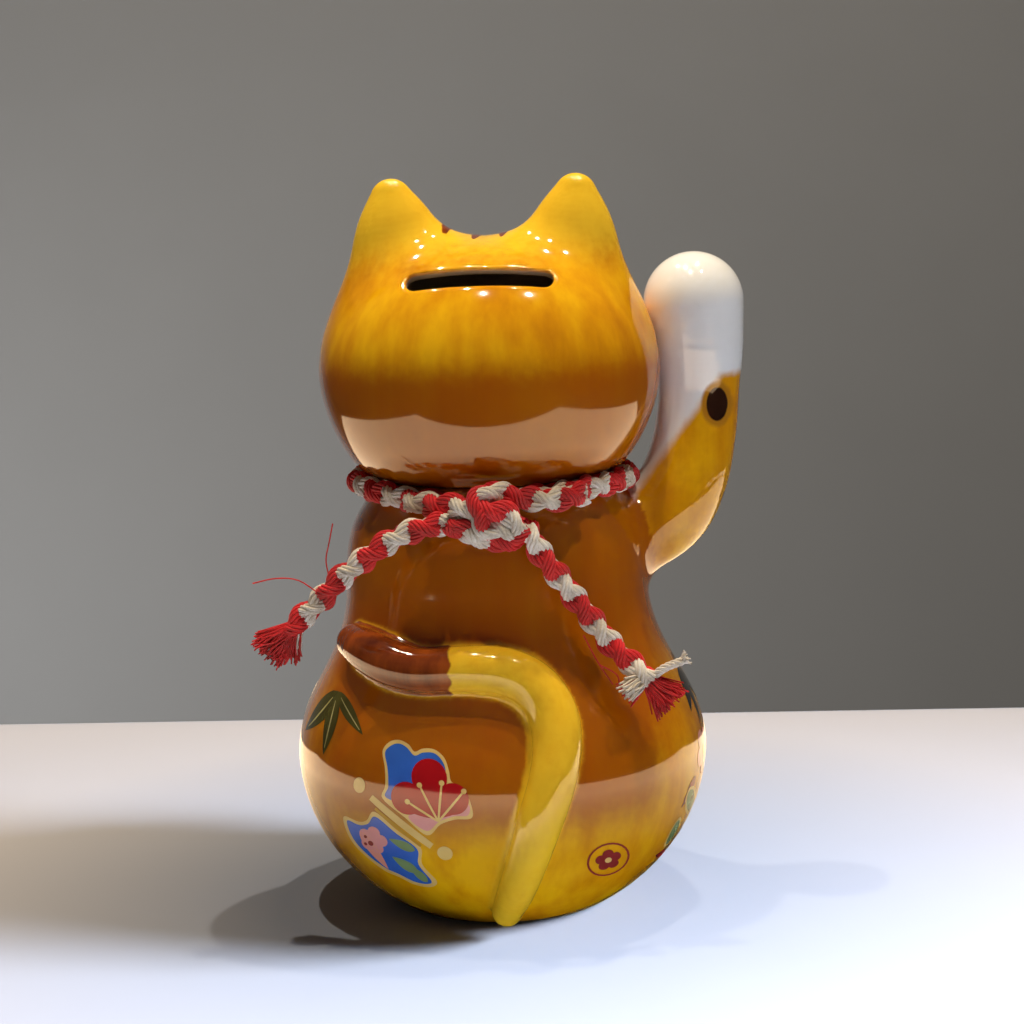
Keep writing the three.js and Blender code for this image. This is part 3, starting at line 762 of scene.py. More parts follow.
def glazeMaterial(name):
    # earthenware brushed with iron and yellow stains under a thick clear glaze: streaks from the brush,
    # colour pooled here and there, and a wet, slightly uneven gloss
    material, tree, shader = newMaterial(name)
    place = addNode(tree, "ShaderNodeTexCoord")
    along = addNode(tree, "ShaderNodeMapping",
                    {"Scale": (1, 1, glaze["streakAcross"] / glaze["streakAlong"])},
                    {"Vector": place.outputs["Object"]})
    streaks = addNode(tree, "ShaderNodeTexNoise",
                      {"Scale": perMetre / glaze["streakAcross"] / 2.2, "Detail": 4, "Roughness": 0.55},
                      {"Vector": along.outputs["Vector"]})
    pools = addNode(tree, "ShaderNodeTexNoise", {"Scale": perMetre / glaze["poolSize"], "Detail": 2},
                    {"Vector": place.outputs["Object"]})
    mixed = addNode(tree, "ShaderNodeMath", {"operation": "MULTIPLY_ADD", 1: 0.62},
                    {0: streaks.outputs["Fac"], 2: pools.outputs["Fac"]})
    ramp = addNode(tree, "ShaderNodeValToRGB", links={"Fac": mixed.outputs["Value"]})
    ramp.color_ramp.elements[0].position = 0.5
    ramp.color_ramp.elements[0].color = linear(glaze["deep"])
    ramp.color_ramp.elements[1].position = 1.12
    ramp.color_ramp.elements[1].color = linear(glaze["gold"])
    middle = ramp.color_ramp.elements.new(0.78)
    middle.color = linear(glaze["amber"])
    colour = ramp.outputs["Color"]
    wobble = addNode(tree, "ShaderNodeTexNoise", {"Scale": perMetre / glaze["wobbleSize"], "Detail": 3},
                     {"Vector": place.outputs["Object"]})

    def over(colour, tag, paint, soft, wild, share=1.0):
        # paint laid over the colour where the tag is above 0, with an edge as soft as the brush left it
        mark = addNode(tree, "ShaderNodeAttribute", {"attribute_name": tag})
        moved = addNode(tree, "ShaderNodeMath", {"operation": "MULTIPLY_ADD", 1: wild},
                        {0: wobble.outputs["Fac"], 2: mark.outputs["Fac"]})
        mask = addNode(tree, "ShaderNodeMapRange", {"interpolation_type": "SMOOTHSTEP",
                                                    "From Min": wild / 2 - soft, "From Max": wild / 2 + soft,
                                                    "To Max": share}, {"Value": moved.outputs["Value"]})
        mix = addNode(tree, "ShaderNodeMix", {"data_type": "RGBA"}, {0: mask.outputs["Result"]})
        tree.links.new(colour, mix.inputs[6])
        if isinstance(paint, str):
            mix.inputs[7].default_value = linear(paint)
        else:
            tree.links.new(paint, mix.inputs[7])
        return mix.outputs[2]

    # the neck, the back and the cheeks take a deeper, redder colour: partly a second brushing with the deeper
    # stain, partly painted shade where the head and the tail shade them and the light above falls away
    colour = over(colour, "shade", glaze["shade"], 0.5, 0.3, 0.88)
    colour = over(colour, "yellow", glaze["yellow"], 1.5, 2.0, 0.8)
    colour = over(colour, "white", glaze["white"], 1.5, 1.2)
    colour = over(colour, "ring", glaze["ring"], 0.5, 0.6)
    brownShade = addNode(tree, "ShaderNodeMapRange", {"From Min": 0.35, "From Max": 0.7},
                         {"Value": streaks.outputs["Fac"]})
    brown = addNode(tree, "ShaderNodeMix",
                    {"data_type": "RGBA", 6: linear(glaze["brown"]), 7: linear(glaze["brownLight"])},
                    {0: brownShade.outputs["Result"]})
    colour = over(colour, "brown", brown.outputs[2], 0.25, 0.5)
    colour = over(colour, "spot", glaze["spot"], 0.2, 0.3)
    colour = over(colour, "bare", glaze["bare"], 0.6, 0.4)
    tree.links.new(colour, shader.inputs["Base Color"])
    # the brush marks and the flow of the glaze stand a few hundredths of a millimetre proud
    waves = addNode(tree, "ShaderNodeTexNoise", {"Scale": perMetre / glaze["waveSize"], "Detail": 1},
                    {"Vector": along.outputs["Vector"]})
    height = addNode(tree, "ShaderNodeMath", {"operation": "MULTIPLY_ADD", 1: 0.12},
                     {0: streaks.outputs["Fac"], 2: waves.outputs["Fac"]})
    bump = addNode(tree, "ShaderNodeBump", {"Strength": 0.35, "Distance": 0.0006},
                   {"Height": height.outputs["Value"]})
    tree.links.new(bump.outputs["Normal"], shader.inputs["Normal"])
    shader.inputs["Roughness"].default_value = glaze["roughness"]
    shader.inputs["IOR"].default_value = 1.52
    shader.inputs["Coat Weight"].default_value = 0.4
    shader.inputs["Coat Roughness"].default_value = 0.03
    return material


glazedEarthenware = glazeMaterial("glazedEarthenware")


def buildCasting(field, parts, low, high, step, paint, names, skin):
    # one continuous fired surface, kept as the pieces that it was luted together from
    points, quads, normals = meshField(field, low, high, step)
    tags = paint(points)
    centres = points[quads].mean(axis=1)
    distances = np.stack([part(centres) for part in parts], axis=1)
    owner = np.argmin(distances, axis=1)
    owner[skin(centres) < -2.5] = 0
    for number, (name, node, slotName) in enumerate(names):
        faces = quads[owner == number]
        used, local = np.unique(faces, return_inverse=True)
        piece = meshObject(name, points[used], local.reshape(-1, 4), [glazedEarthenware],
                           normals=normals[used], tags={tag: values[used] for tag, values in tags.items()})
        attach(piece, "figurine")
        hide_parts(node)
        print("  ", name, len(faces), "faces")


bodyNames = [("torsoCasting", "torso_shell", "amber_glaze"), ("raisedArm", "raised_arm", "white_glaze"),
             ("tailRelief", "tail", "amber_glaze"), ("leftForeleg", "left_foreleg", "amber_glaze"),
             ("leftFoot", "left_foot", "white_glaze"), ("rightFoot", "right_foot", "white_glaze")]
coarser = 1.0
buildCasting(bodyField, list(bodyParts.values()), (-77, -70, -2.5), (66, 68, 188), 1.15 * coarser, bodyPaint,
             bodyNames, torsoSkin)
print("torso, arm, tail and legs cast")
buildCasting(headField, [headSkin], (-54, -46, headBase - 3), (54, 46, earTop + 4), 0.95 * coarser, headPaint,
             [("headCasting", "head_shell", "amber_glaze")], lambda p: np.zeros(len(p)))
print("head cast")


def leafShape(base, tip, wide, bend=0.0):
    # a pointed leaf, widest a third of the way along
    base, tip = np.asarray(base, dtype=float), np.asarray(tip, dtype=float)
    run = tip - base
    off = np.array((-run[1], run[0])) / np.linalg.norm(run)
    t = np.linspace(0, 1, 15)
    half = wide * 0.5 * np.sin(np.pi * t ** 0.72) ** 0.85
    curve = base + t[:, None] * run + off * (bend * np.sin(np.pi * t))[:, None]
    return np.vstack([curve + off * half[:, None], (curve - off * half[:, None])[1:-1][::-1]])


def discShape(middle, radius, tall=None, turn=0.0, steps=28):
    angle = np.linspace(0, 2 * np.pi, steps, endpoint=False)
    u, v = radius * np.cos(angle), (tall or radius) * np.sin(angle)
    c, s = math.cos(turn), math.sin(turn)
    return np.stack([u * c - v * s, u * s + v * c], axis=1) + np.asarray(middle, dtype=float)


def blossomShape(middle, radius, petals=5, turn=0.0):
    # round petals that meet in short notches
    angle = np.linspace(0, 2 * np.pi, petals * 14, endpoint=False)
    far = radius * (0.66 + 0.34 * np.abs(np.cos(petals / 2 * (angle - turn))) ** 0.6)
    return np.stack([far * np.cos(angle), far * np.sin(angle)], axis=1) + np.asarray(middle, dtype=float)


def strokeShape(points, wide, thin=1.0):
    # a drawn line, thin times as wide at its ends
    line = np.asarray(points, dtype=float)
    if len(line) > 2:
        line = smoothPath(np.hstack([line, np.zeros((len(line), 1))]), 0.7)[:, :2]
    else:
        line = line[0] + np.linspace(0, 1, 9)[:, None] * (line[1] - line[0])
    way = np.gradient(line, axis=0)
    way /= np.linalg.norm(way, axis=1)[:, None]
    off = np.stack([-way[:, 1], way[:, 0]], axis=1)
    t = np.linspace(0, 1, len(line))
    half = wide * 0.5 * (thin + (1 - thin) * np.sin(np.pi * t) ** 0.7)
    half = np.maximum(half, 0.06)[:, None]
    return np.vstack([line + off * half, (line - off * half)[::-1]])


def roundedShape(points):
    # a closed smooth outline through a few points
    p = np.asarray(points, dtype=float)
    t = np.linspace(0, 1, 6, endpoint=False)[:, None]
    return np.vstack([stretch(*(p[(i + k) % len(p)] for k in (-1, 0, 1, 2)), t) for i in range(len(p))])


def insideOf(outline, spots):
    inside = np.zeros(len(spots), dtype=bool)
    for a, b in zip(outline, np.roll(outline, -1, axis=0)):
        level = (a[1] > spots[:, 1]) != (b[1] > spots[:, 1])
        with np.errstate(divide="ignore", invalid="ignore"):
            at = a[0] + (spots[:, 1] - a[1]) * (b[0] - a[0]) / (b[1] - a[1])
        inside ^= level & (spots[:, 0] < at)
    return inside


decalLift = dict(first=0.05, each=0.025, grid=1.1)


def layDecal(name, shapes, field, facing, body="figurine"):
    # shapes: (outline, material, layer); facing: directions across, up and outwards
    across, up, out = (np.asarray(v, dtype=float) for v in facing)
    materials, points, faces, which, normals = [], [], [], [], []
    total = 0
    for outline, material, layer in shapes:
        if material not in materials:
            materials.append(material)
        low, high = outline.min(axis=0), outline.max(axis=0)
        step = decalLift["grid"]
        u, v = np.meshgrid(*(np.arange(low[i] + step / 2, high[i], step) for i in (0, 1)))
        spots = np.stack([u.ravel(), v.ravel()], axis=1)
        if len(spots):
            spots = spots[insideOf(outline, spots)]
            gap = np.full(len(spots), 9.0)
            for a in outline:
                gap = np.minimum(gap, np.linalg.norm(spots - a, axis=1))
            spots = spots[gap > step * 0.35]
        flat = [Vector(p) for p in np.vstack([outline, spots])]
        n = len(outline)
        made = geometry.delaunay_2d_cdt(flat, [(i, (i + 1) % n) for i in range(n)], [], 1, 1e-5)
        flat2 = np.array([tuple(p) for p in made[0]])
        triangles = np.array([f for f in made[2] if len(f) == 3])
        p = across * flat2[:, :1] + up * flat2[:, 1:] + out * 75
        for _ in range(60):
            p = p - out * field(p)[:, None] * 0.8
        g = gradient(field, p, 0.3)
        n3 = g / np.linalg.norm(g, axis=1)[:, None]
        p = p + n3 * (decalLift["first"] + decalLift["each"] * layer)
        a, b, c = (p[triangles[:, i]] for i in range(3))
        wrong = np.einsum("ij,ij->i", np.cross(b - a, c - a), n3[triangles[:, 0]]) < 0
        triangles[wrong] = triangles[wrong][:, ::-1]
        points.append(p)
        normals.append(n3)
        faces.append(triangles + total)
        which.append(np.full(len(triangles), materials.index(material)))
        total += len(p)
    piece = meshObject(name, np.vstack(points), np.vstack(faces), materials, np.concatenate(which),
                       normals=np.vstack(normals))
    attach(piece, body)
    return piece


def enamelMaterial(name, colour, shade, grain=6.4):
    # overglaze decal colour: flat screen-printed enamel that sinks into the glaze and takes its gloss
    material, tree, shader = newMaterial(name)
    place = addNode(tree, "ShaderNodeTexCoord")
    cloud = addNode(tree, "ShaderNodeTexNoise", {"Scale": perMetre / grain, "Detail": 3},
                    {"Vector": place.outputs["Object"]})
    mix = addNode(tree, "ShaderNodeMix", {"data_type": "RGBA", 6: linear(shade), 7: linear(colour)},
                  {0: cloud.outputs["Fac"]})
    tree.links.new(mix.outputs[2], shader.inputs["Base Color"])
    shader.inputs["Roughness"].default_value = glaze["roughness"] + 0.02
    shader.inputs["IOR"].default_value = 1.52
    shader.inputs["Coat Weight"].default_value = 0.4
    shader.inputs["Coat Roughness"].default_value = 0.03
    return material


enamels = {name: enamelMaterial(name + "Enamel", colour, shade) for name, colour, shade in (
    ("cream", "#f3cf7c", "#e4b75c"), ("blue", "#3f74c8", "#2c58ad"), ("red", "#c4121a", "#a50c12"),
    ("pink", "#efa497", "#e28e86"), ("olive", "#5a5420", "#3f3a14"), ("pale", "#c9bb7a", "#b0a260"),
    ("green", "#8aa067", "#6f8a55"), ("black", "#17110c", "#241a12"), ("blush", "#f0a58c", "#e8957c"),
    ("maroon", "#9c2f2a", "#842420"), ("white", "#f4efe4", "#e9e2d4"), ("gold", "#d9a021", "#c58c17"))}
fromBehind = ((1, 0, 0), (0, 0, 1), (0, 1, 0))
fromFront = ((1, 0, 0), (0, 0, 1), (0, -1, 0))
fromRight = ((0, 1, 0), (0, 0, 1), (-1, 0, 0))
fromLeft = ((0, 1, 0), (0, 0, 1), (1, 0, 0))


def bamboo(base, tips, wide, ink, rib):
    shapes = []
    for tip in tips:
        run = np.array(tip) - np.array(base)
        shapes.append((leafShape(base, tip, wide), enamels[ink], 1))
        if rib:
            shapes.append((strokeShape([np.array(base) + run * 0.14, np.array(base) + run * 0.88], 0.35, 0.3),
                           enamels[rib], 2))
    return shapes


def layBackDecals():
    layDecal("bambooDecal", bamboo((42.9, 66), ((54, 52.8), (47, 49.6), (34.5, 57.4)), 3.9, "olive", "pale"),
             torsoSkin, fromBehind)
    # a scalloped blue field with a red plum blossom, edged in cream
    field = roundedShape([(28.6, 54.3), (26.6, 56.8), (23.8, 57.5), (21.2, 56.6), (19.6, 55), (17.2, 55.9),
                          (14, 55.8), (11.4, 53.8), (10.2, 50.6), (9.6, 47.9), (6.6, 46.2), (4.7, 42.6),
                          (4.4, 38.2),
                          (8.9, 37.6), (13, 36), (16.9, 32.6), (22.8, 37.2), (28.9, 41.8), (28, 45.4),
                          (28, 50)])
    inner = roundedShape([(27.9, 54), (26, 56), (23.8, 56.6), (21.7, 55.8), (19.6, 54), (17.2, 54.9),
                          (14.2, 54.9), (12.1, 53.2), (11.1, 50.4), (12, 46), (15, 41), (20, 40.5),
                          (27.8, 42.2),
                          (27.1, 45.4), (27.2, 50)])
    bottom = roundedShape([(5.4, 38.9), (9.2, 38.5), (13.2, 36.9), (16.9, 33.9), (21.8, 37.6), (16, 40.4),
                           (10, 41.4), (5.3, 42)])
    petals = [(discShape((15.6, 48.6), 4.9), enamels["red"], 3),
              (discShape((21.9, 42.6), 4.5), enamels["red"], 3),
              (discShape((9.3, 43.2), 4.3), enamels["red"], 3),
              (roundedShape([(21, 46), (10, 46.6), (6, 41.2), (13.3, 37.8), (20.3, 38.6), (25.6, 41.4)]),
               enamels["red"], 3)]
    stamens = []
    for x, z in ((18.3, 46.5), (12.2, 47.4), (6.3, 45.4), (21.8, 41.8)):
        stamens.append((strokeShape([(13.5, 36.9), (x, z)], 0.62, 0.8), enamels["cream"], 5))
        stamens.append((discShape((x, z), 0.75, steps=14), enamels["cream"], 6))
    layDecal("plumDecal", [(field, enamels["cream"], 0), (inner, enamels["blue"], 1),
             (bottom, enamels["pink"], 2)]
             + petals + stamens, torsoSkin, fromBehind)
    layDecal("barDecal", [(strokeShape([(32.3, 41.6), (15.8, 29.4)], 2.1, 0.9), enamels["cream"], 2),
                          (strokeShape([(31.2, 38.6), (18.8, 29.2)], 0.9, 0.9), enamels["gold"], 3),
                          (discShape((35.6, 44.3), 1.7, 2.2, 0.3), enamels["cream"], 2),
                          (discShape((12.3, 27.5), 2.1), enamels["cream"], 2)], torsoSkin, fromBehind)
    # the lower field: blue with a pink blossom and green leaves
    lower = roundedShape([(41, 34), (36.6, 33.6), (34, 34.6), (31.4, 37.6), (25, 33), (19, 28.8), (19, 23.4),
                          (15.4, 18), (17.4, 15.6), (22, 15.8), (26, 17.6), (30, 18.8), (34.6, 21.8),
                          (38.8, 25.6),
                          (40.9, 30)])
    lowerInner = roundedShape([(40, 33.1), (36.6, 32.6), (33.7, 33.6), (31.3, 36.2), (25.6, 32.2), (20, 28.2),
                               (20, 23.2), (16.9, 18), (18.4, 16.6), (22, 16.9), (26, 18.7), (29.6, 19.9),
                               (34, 22.6), (37.9, 26.2), (39.8, 30)])
    layDecal("lowerFieldDecal", [
        (lower, enamels["cream"], 0), (lowerInner, enamels["blue"], 1),
        (blossomShape((32.6, 28.8), 4.3, turn=0.5), enamels["pink"], 2),
        (leafShape((36.4, 30.8), (29, 19.8), 3.4), enamels["blush"], 2),
        (leafShape((20.6, 27.6), (27.8, 30.2), 2.8), enamels["green"], 2),
        (leafShape((20.4, 20.4), (27.4, 24.6), 3.2), enamels["green"], 2),
        (leafShape((18, 17.4), (22.6, 22.4), 2.6), enamels["green"], 2),
        (discShape((33.4, 27.6), 0.8), enamels["maroon"], 3),
        (discShape((34.8, 29.4), 0.5), enamels["maroon"], 3),
        (discShape((35, 27), 0.5), enamels["maroon"], 3)], torsoSkin, fromBehind)
    # a small red blossom in a ring, low on the right
    ring = []
    for k in range(24):
        a, b = np.radians(k * 15), np.radians(k * 15 + 16)
        ring.append((strokeShape([(-30.8 + 5.4 * math.cos(a), 21.6 + 5.4 * math.sin(a)),
                                  (-30.8 + 5.4 * math.cos(b), 21.6 + 5.4 * math.sin(b))], 0.55),
                     enamels["maroon"], 1))
    layDecal("ringDecal", ring + [(blossomShape((-30.8, 21.6), 3.5, turn=1.57), enamels["maroon"], 1),
                                  (discShape((-30.8, 21.6), 0.9), enamels["cream"], 2)],
             torsoSkin, fromBehind)


def layFlankDecals():
    # the right flank: black bamboo, pink blossoms, a maroon leaf and green ovals edged in cream
    shapes = bamboo((3.5, 66), ((13.2, 55.4), (7.2, 51), (-4.5, 54)), 4.4, "black", None)
    shapes += [(strokeShape([(-2, 70), (3.5, 66), (9, 50)], 0.7, 0.4), enamels["black"], 1),
               (leafShape((-1, 69.5), (2.6, 66.4), 2), enamels["black"], 1),
               (blossomShape((-1, 43), 9.5, turn=0.3), enamels["pink"], 0),
               (blossomShape((9.2, 43.5), 6.8, turn=1.0), enamels["blush"], 1),
               (discShape((-1, 43), 2.2), enamels["cream"], 2),
               (discShape((9.2, 43.5), 1.5), enamels["cream"], 2),
               (leafShape((16.8, 38), (22.8, 30.6), 4), enamels["maroon"], 1),
               (discShape((16.5, 31), 6.2, 3.2, 0.7), enamels["cream"], 2),
               (discShape((16.5, 31), 5.2, 2.3, 0.7), enamels["green"], 3),
               (discShape((20.6, 23), 4.6, 2.9, 1.25), enamels["cream"], 2),
               (discShape((20.6, 23), 3.8, 2.1, 1.25), enamels["green"], 3),
               (leafShape((15, 15.5), (23, 17.2), 2.2), enamels["red"], 1)]
    layDecal("rightFlankDecal", shapes, torsoSkin, fromRight)
    mirrored = bamboo((-2, 63), ((-12, 52), (-6, 48), (7, 51)), 4.2, "olive", "pale")
    mirrored += [(blossomShape((-3, 34), 8, turn=0.6), enamels["red"], 1),
                 (discShape((-3, 34), 1.9), enamels["cream"], 2),
                 (blossomShape((-14, 26), 5, turn=0.1), enamels["pink"], 1),
                 (discShape((-14, 26), 1.2), enamels["cream"], 2)]
    layDecal("leftFlankDecal", mirrored, torsoSkin, fromLeft)


layBackDecals()
layFlankDecals()
print("back and flank decals laid")


def layFace():
    # a plain, friendly cat's face: oval eyes, pink nose, small mouth, whiskers
    shapes = []
    for side in (-1, 1):
        shapes += [(discShape((side * 18, 156), 6.2, 7.4), enamels["black"], 1),
                   (discShape((side * 18, 156), 5.1, 6.3), enamels["gold"], 2),
                   (discShape((side * 17.6, 156), 2.7, 5.2), enamels["black"], 3),
                   (discShape((side * 17 - 1.8, 158.8), 1.2), enamels["white"], 4),
                   (strokeShape([(side * 0.2, 141), (side * 3.8, 137.2), (side * 8, 140)], 1.0, 0.4),
                    enamels["black"], 1),
                   (discShape((side * 27, 143), 4.4, 3), enamels["blush"], 1)]
        for rise, reach in ((146, 151), (142, 142.5), (138, 134.5)):
            shapes.append((strokeShape([(side * 22, rise), (side * 32, (rise + reach) / 2 + 0.8),
                                        (side * 40, reach)],
                                       0.8, 0.3), enamels["black"], 2))
        for k in range(3):
            shapes.append((discShape((side * (9 + k * 3.2), 142 - (k % 2) * 2.4), 0.5, steps=12),
                           enamels["black"], 1))
    nose = roundedShape([(-3.8, 147.4), (0, 148.2), (3.8, 147.4), (2.4, 144.8), (0, 143.6), (-2.4, 144.8)])
    shapes += [(nose, enamels["blush"], 2), (strokeShape([(0, 143.8), (0, 141)], 0.9), enamels["black"], 1)]
    layDecal("facePainting", shapes, headField, fromFront)
    ears = []
    for side in (-1, 1):
        ears.append((leafShape((side * 24, 178), (side * 25.4, 198), 13), enamels["blush"], 1))
    layDecal("innerEarPainting", ears, headField, fromFront)
    toes = []
    for side in (-1, 1):
        middle = side * foot["spread"]
        toes += [(strokeShape([(middle + x, 2.5), (middle + x * 1.1, 9.5)], 1.0, 0.4), enamels["black"], 1)
                 for x in (-4, 4)]
    layDecal("toePainting", toes, bodyField, fromFront)


layFace()
print("face painted")


bell = dict(radius=8.5, wall=0.8, drop=12.7, lean=-0.70377, hang=(0, -37.48, 121), shank=4.2, wire=0.75,
            slit=0.9, slitReach=5.6, slitEnd=1.7, rim=0.45, gap=0.15)


def bellShell(p):
    q = p + np.array((0, 0, bell["drop"]))
    r = np.linalg.norm(q, axis=1)
    shell = np.abs(r - bell["radius"] + bell["wall"] / 2) - bell["wall"] / 2
    band = np.hypot(np.hypot(q[:, 0], q[:, 1]) - bell["radius"] + 0.35, np.abs(q[:, 2]) - 0.5) - bell["rim"]
    ring = np.hypot(np.hypot(q[:, 0], q[:, 1]) - bell["radius"] + 0.9, q[:, 2] - 2.6) - 0.5
    return q, smoothMin(shell, smoothMin(band, ring, 0.2), 0.4)


def bellTopField(p):
    q, shell = bellShell(p)
    shank = np.hypot(np.hypot(p[:, 1], p[:, 2]) - bell["shank"], p[:, 0]) - bell["wire"] * 0.85
    cap = np.maximum(np.hypot(q[:, 0], q[:, 1]) - 2.4, np.abs(q[:, 2] - bell["radius"]) - 0.45)
    top = np.maximum(shell, bell["gap"] - q[:, 2])
    return smoothMin(smoothMin(top, cap, 0.4), shank, 0.5)


def bellBottomField(p):
    q, shell = bellShell(p)
    slit = np.maximum(np.abs(q[:, 0]) - bell["slit"], np.abs(q[:, 1]) - bell["slitReach"])
    ends = np.hypot(q[:, 0], np.abs(q[:, 1]) - bell["slitReach"]) - bell["slitEnd"]
    cut = np.maximum(np.minimum(slit, ends), q[:, 2] + 3)
    return np.maximum(np.maximum(shell, q[:, 2] + bell["gap"]), -cut)


def swung(points):
    # from hanging straight down to leaning on the chest
    c, s = math.cos(bell["lean"]), math.sin(bell["lean"])
    x, y, z = np.asarray(points).T
    return np.stack([x, y * c - z * s, y * s + z * c], axis=1) + np.array(bell["hang"])


def brassMaterial():
    # stamped brass, polished and lacquered: bright yellow with faint swirls from the buffing wheel
    material, tree, shader = newMaterial("polishedBrass")
    place = addNode(tree, "ShaderNodeTexCoord")
    swirls = addNode(tree, "ShaderNodeTexNoise", {"Scale": 280, "Detail": 2},
                     {"Vector": place.outputs["Object"]})
    stains = addNode(tree, "ShaderNodeTexNoise", {"Scale": 160, "Detail": 2},
                     {"Vector": place.outputs["Object"]})
    ramp = addNode(tree, "ShaderNodeValToRGB", links={"Fac": stains.outputs["Fac"]})
    ramp.color_ramp.elements[0].position = 0.35
    ramp.color_ramp.elements[0].color = linear("#a9781f")
    ramp.color_ramp.elements[1].position = 0.62
    ramp.color_ramp.elements[1].color = linear("#e0b45a")
    rough = addNode(tree, "ShaderNodeMapRange", {"To Min": 0.18, "To Max": 0.28},
                    {"Value": swirls.outputs["Fac"]})
    tree.links.new(ramp.outputs["Color"], shader.inputs["Base Color"])
    tree.links.new(rough.outputs["Result"], shader.inputs["Roughness"])
    shader.inputs["Metallic"].default_value = 1
    return material


polishedBrass = brassMaterial()


def buildBell():
    around = bell["radius"] + 1
    low, high = np.array((-around, -around, -bell["drop"] - around)), np.array((around, around, 6))
    for name, node, field in (("bellTop", "bell_top", bellTopField),
                              ("bellBottom", "bell_bottom", bellBottomField)):
        points, quads, normals = meshField(field, low, high, 0.36 * coarser)
        turnedNormals = swung(normals) - np.array(bell["hang"])
        piece = meshObject(name, swung(points), quads, [polishedBrass], normals=turnedNormals)
        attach(piece, "bell")
        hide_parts(node)


buildBell()
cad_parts["bell_pellet"].data.materials.clear()
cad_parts["bell_pellet"].data.materials.append(polishedBrass)
print("bell stamped")

plug = dict(shaft=14.8, flange=18.5, low=1.5, under=3.7, top=11.5, steps=72)


def lathe(profile, steps):
    profile = np.asarray(profile, dtype=float)
    angle = np.linspace(0, 2 * np.pi, steps, endpoint=False)
    far, rise = profile[None, :, 0], np.repeat(profile[None, :, 1], steps, 0)
    points = np.stack([far * np.cos(angle)[:, None], far * np.sin(angle)[:, None], rise], axis=-1)
    n = len(profile)
    i, j = np.meshgrid(np.arange(steps), np.arange(n - 1), indexing="ij")
    after = (i + 1) % steps
    quads = np.stack([i * n + j, after * n + j, after * n + j + 1, i * n + j + 1], axis=-1)
    return points.reshape(-1, 3), quads.reshape(-1, 4)


def rubberMaterial():
    # moulded black rubber: matte, with a fine bloom and the mould's grain
    material, tree, shader = newMaterial("mouldedRubber")
    place = addNode(tree, "ShaderNodeTexCoord")
    grain = addNode(tree, "ShaderNodeTexNoise", {"Scale": 2500, "Detail": 3},
                    {"Vector": place.outputs["Object"]})
    bloom = addNode(tree, "ShaderNodeTexNoise", {"Scale": 120, "Detail": 3},
                    {"Vector": place.outputs["Object"]})
    ramp = addNode(tree, "ShaderNodeValToRGB", links={"Fac": bloom.outputs["Fac"]})
    ramp.color_ramp.elements[0].color = linear("#262322")
    ramp.color_ramp.elements[1].color = linear("#4a4644")
    bump = addNode(tree, "ShaderNodeBump", {"Strength": 0.3, "Distance": 0.0001},
                   {"Height": grain.outputs["Fac"]})
    tree.links.new(ramp.outputs["Color"], shader.inputs["Base Color"])
    tree.links.new(bump.outputs["Normal"], shader.inputs["Normal"])
    shader.inputs["Roughness"].default_value = 0.72
    return material


def buildPlug():
    # a flange with a finger groove, a neck that snaps into the hole, and a softened lip
    low, under, top, shaft, flange = (plug[k] for k in ("low", "under", "top", "shaft", "flange"))
    profile = [(0.01, low + 1.3), (5, low + 1.3), (6, low + 1.1), (6.8, low + 0.2), (7.6, low),
               (flange - 0.7, low), (flange - 0.1, low + 0.4), (flange, low + 1), (flange - 0.3, under - 0.2),
               (flange - 0.8, under), (shaft + 0.2, under), (shaft, under + 0.3), (shaft - 0.1, under + 3.5),
               (shaft, top - 1.6), (shaft - 0.2, top - 0.7), (shaft - 1, top - 0.1), (shaft - 1.6, top),
               (shaft - 3, top), (shaft - 3.3, top - 0.5), (shaft - 3.4, under + 0.5), (0.01, under + 0.3)]
    points, quads = lathe(profile, plug["steps"])
    piece = meshObject("basePlug", points, quads, [rubberMaterial()])
    edges = piece.modifiers.new("soft edges", "SUBSURF")
    edges.levels = edges.render_levels = 1
    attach(piece, "plug")
    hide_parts("stopper")


buildPlug()
print("plug moulded")


studio = dict(tableFar=-204, tableNear=460, tableHalf=900, wallAway=-950, wallGrey="#7b7b7a", table="#9aa0ab",
              spotPower=3.7, windowPower=12.5, washPower=4.2,
              sheenColour="#ffdcb0", sheenStrength=2.7, sheenHalf=430)


def stagePlane(name, corners, colour, roughness):
    material, tree, shader = newMaterial(name + "Paint")
    place = addNode(tree, "ShaderNodeTexCoord")
    mottle = addNode(tree, "ShaderNodeTexNoise", {"Scale": 14, "Detail": 3},
                     {"Vector": place.outputs["Object"]})
    shade = addNode(tree, "ShaderNodeMix", {"data_type": "RGBA", 6: linear(colour),
                                            7: tuple(c * 0.94 for c in linear(colour)[:3]) + (1,)},
                    {0: mottle.outputs["Fac"]})
    tree.links.new(shade.outputs[2], shader.inputs["Base Color"])
    shader.inputs["Roughness"].default_value = roughness
    plane = meshObject(name, corners, [(0, 1, 2, 3)], [material])
    return plane


def buildStage():
    half = studio["tableHalf"]
    table = stagePlane("table", [(-half, studio["tableFar"], 0), (half, studio["tableFar"], 0),
                                 (half, studio["tableNear"], 0), (-half, studio["tableNear"], 0)],
                       studio["table"], 0.5)
    away = studio["wallAway"]
    wall = stagePlane("wall", [(-1500, away, -600), (1500, away, -600),
                              (1500, away, 1600), (-1500, away, 1600)],
                      studio["wallGrey"], 0.9)
    table.visible_glossy = False
    layTableSheen()
    return table, wall


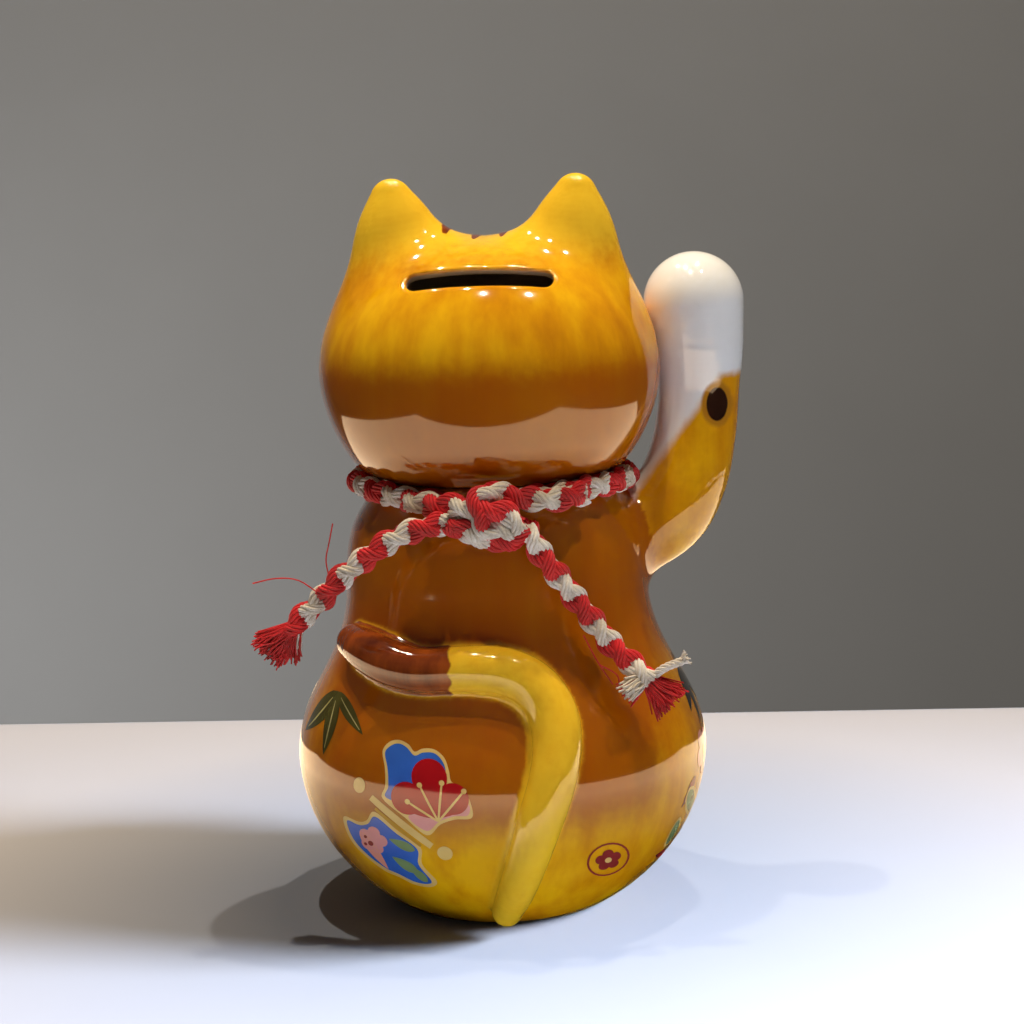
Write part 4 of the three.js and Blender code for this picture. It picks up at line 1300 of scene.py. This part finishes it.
def layTableSheen():
    # a glowing sheet, a painted reflection of the bright warm table in the glaze; the eye and the diffuse
    # light never meet this sheet
    material, tree, shader = newMaterial("warmTableSheen")
    place = addNode(tree, "ShaderNodeTexCoord")
    far = addNode(tree, "ShaderNodeVectorMath", {"operation": "LENGTH"}, {0: place.outputs["Object"]})
    # it fades out under the cat, where the table is in its shade
    rise = addNode(tree, "ShaderNodeMapRange",
                   {"From Min": 0.065, "From Max": 0.19, "To Min": 0, "To Max": studio["sheenStrength"]},
                   {"Value": far.outputs["Value"]})
    shader.inputs["Base Color"].default_value = (0, 0, 0, 1)
    shader.inputs["Emission Color"].default_value = linear(studio["sheenColour"])
    tree.links.new(rise.outputs["Result"], shader.inputs["Emission Strength"])
    half, low = studio["sheenHalf"], 0.3
    sheet = meshObject("tableSheen", [(-half, studio["tableFar"], low), (half, studio["tableFar"], low),
                                      (half, studio["tableNear"], low), (-half, studio["tableNear"], low)],
                       [(0, 1, 2, 3)], [material])
    sheet.visible_camera = sheet.visible_diffuse = sheet.visible_shadow = sheet.visible_transmission = False


def areaLight(name, place, aim, size, power, colour, spread=180):
    data = bpy.data.lights.new(name, "AREA")
    data.energy = power
    data.color = linear(colour)[:3]
    data.shape = "DISK"
    data.size = size * mm
    data.spread = math.radians(spread)
    lamp = bpy.data.objects.new(name, data)
    bpy.context.collection.objects.link(lamp)
    lamp.location = Vector(place) * mm
    lamp.rotation_euler = (Vector(aim) - Vector(place)).to_track_quat("-Z", "Y").to_euler()
    return lamp


def lightOnly(lamp, pieces, state):
    # a light that reaches only these pieces, or everything but them
    group = bpy.data.collections.new(lamp.name + "Reach")
    for number, piece in enumerate(pieces):
        group.objects.link(piece)
        group.collection_objects[number].light_linking.link_state = state
    lamp.light_linking.receiver_collection = group


def buildLight(table, wall):
    # small ceiling spots nearly overhead; a broad window low on the right that sweeps the table
    for number, place in enumerate(((-170, -160, 1150), (160, -40, 1180), (-330, 170, 1120), (30, 250, 1200),
                                    (360, -260, 1120))):
        spot = areaLight("ceilingSpot" + str(number), place, (0, 0, 110), 16, studio["spotPower"], "#fff3e2")
        if number > 1:
            lightOnly(spot, [table], "EXCLUDE")
    window = areaLight("windowSoftbox", (-1000, 160, 520), (0, 330, 0), 420,
                       studio["windowPower"], "#e8efff", 64)
    window.visible_glossy = False
    lightOnly(window, [table], "INCLUDE")
    wash = areaLight("wallWash", (560, -420, -150), (330, -950, -150), 500, studio["washPower"], "#fbfcff")
    wash.visible_glossy = False
    wash.visible_camera = False
    lightOnly(wash, [wall], "INCLUDE")
    world = bpy.data.worlds.new("room")
    world.use_nodes = True
    bpy.context.scene.world = world
    tree = world.node_tree
    # a dim room: dark near the floor, a grey ceiling
    place = addNode(tree, "ShaderNodeTexCoord")
    split = addNode(tree, "ShaderNodeSeparateXYZ", links={0: place.outputs["Generated"]})
    ramp = addNode(tree, "ShaderNodeValToRGB", links={"Fac": split.outputs["Z"]})
    ramp.color_ramp.elements[0].position = 0.05
    ramp.color_ramp.elements[0].color = (0.035, 0.03, 0.026, 1)
    ramp.color_ramp.elements[1].position = 0.8
    ramp.color_ramp.elements[1].color = (0.07, 0.068, 0.065, 1)
    tree.links.new(ramp.outputs["Color"], tree.nodes["Background"].inputs["Color"])


buildLight(*buildStage())
bpy.context.scene.view_settings.view_transform = "Standard"
print("table, wall and light set")
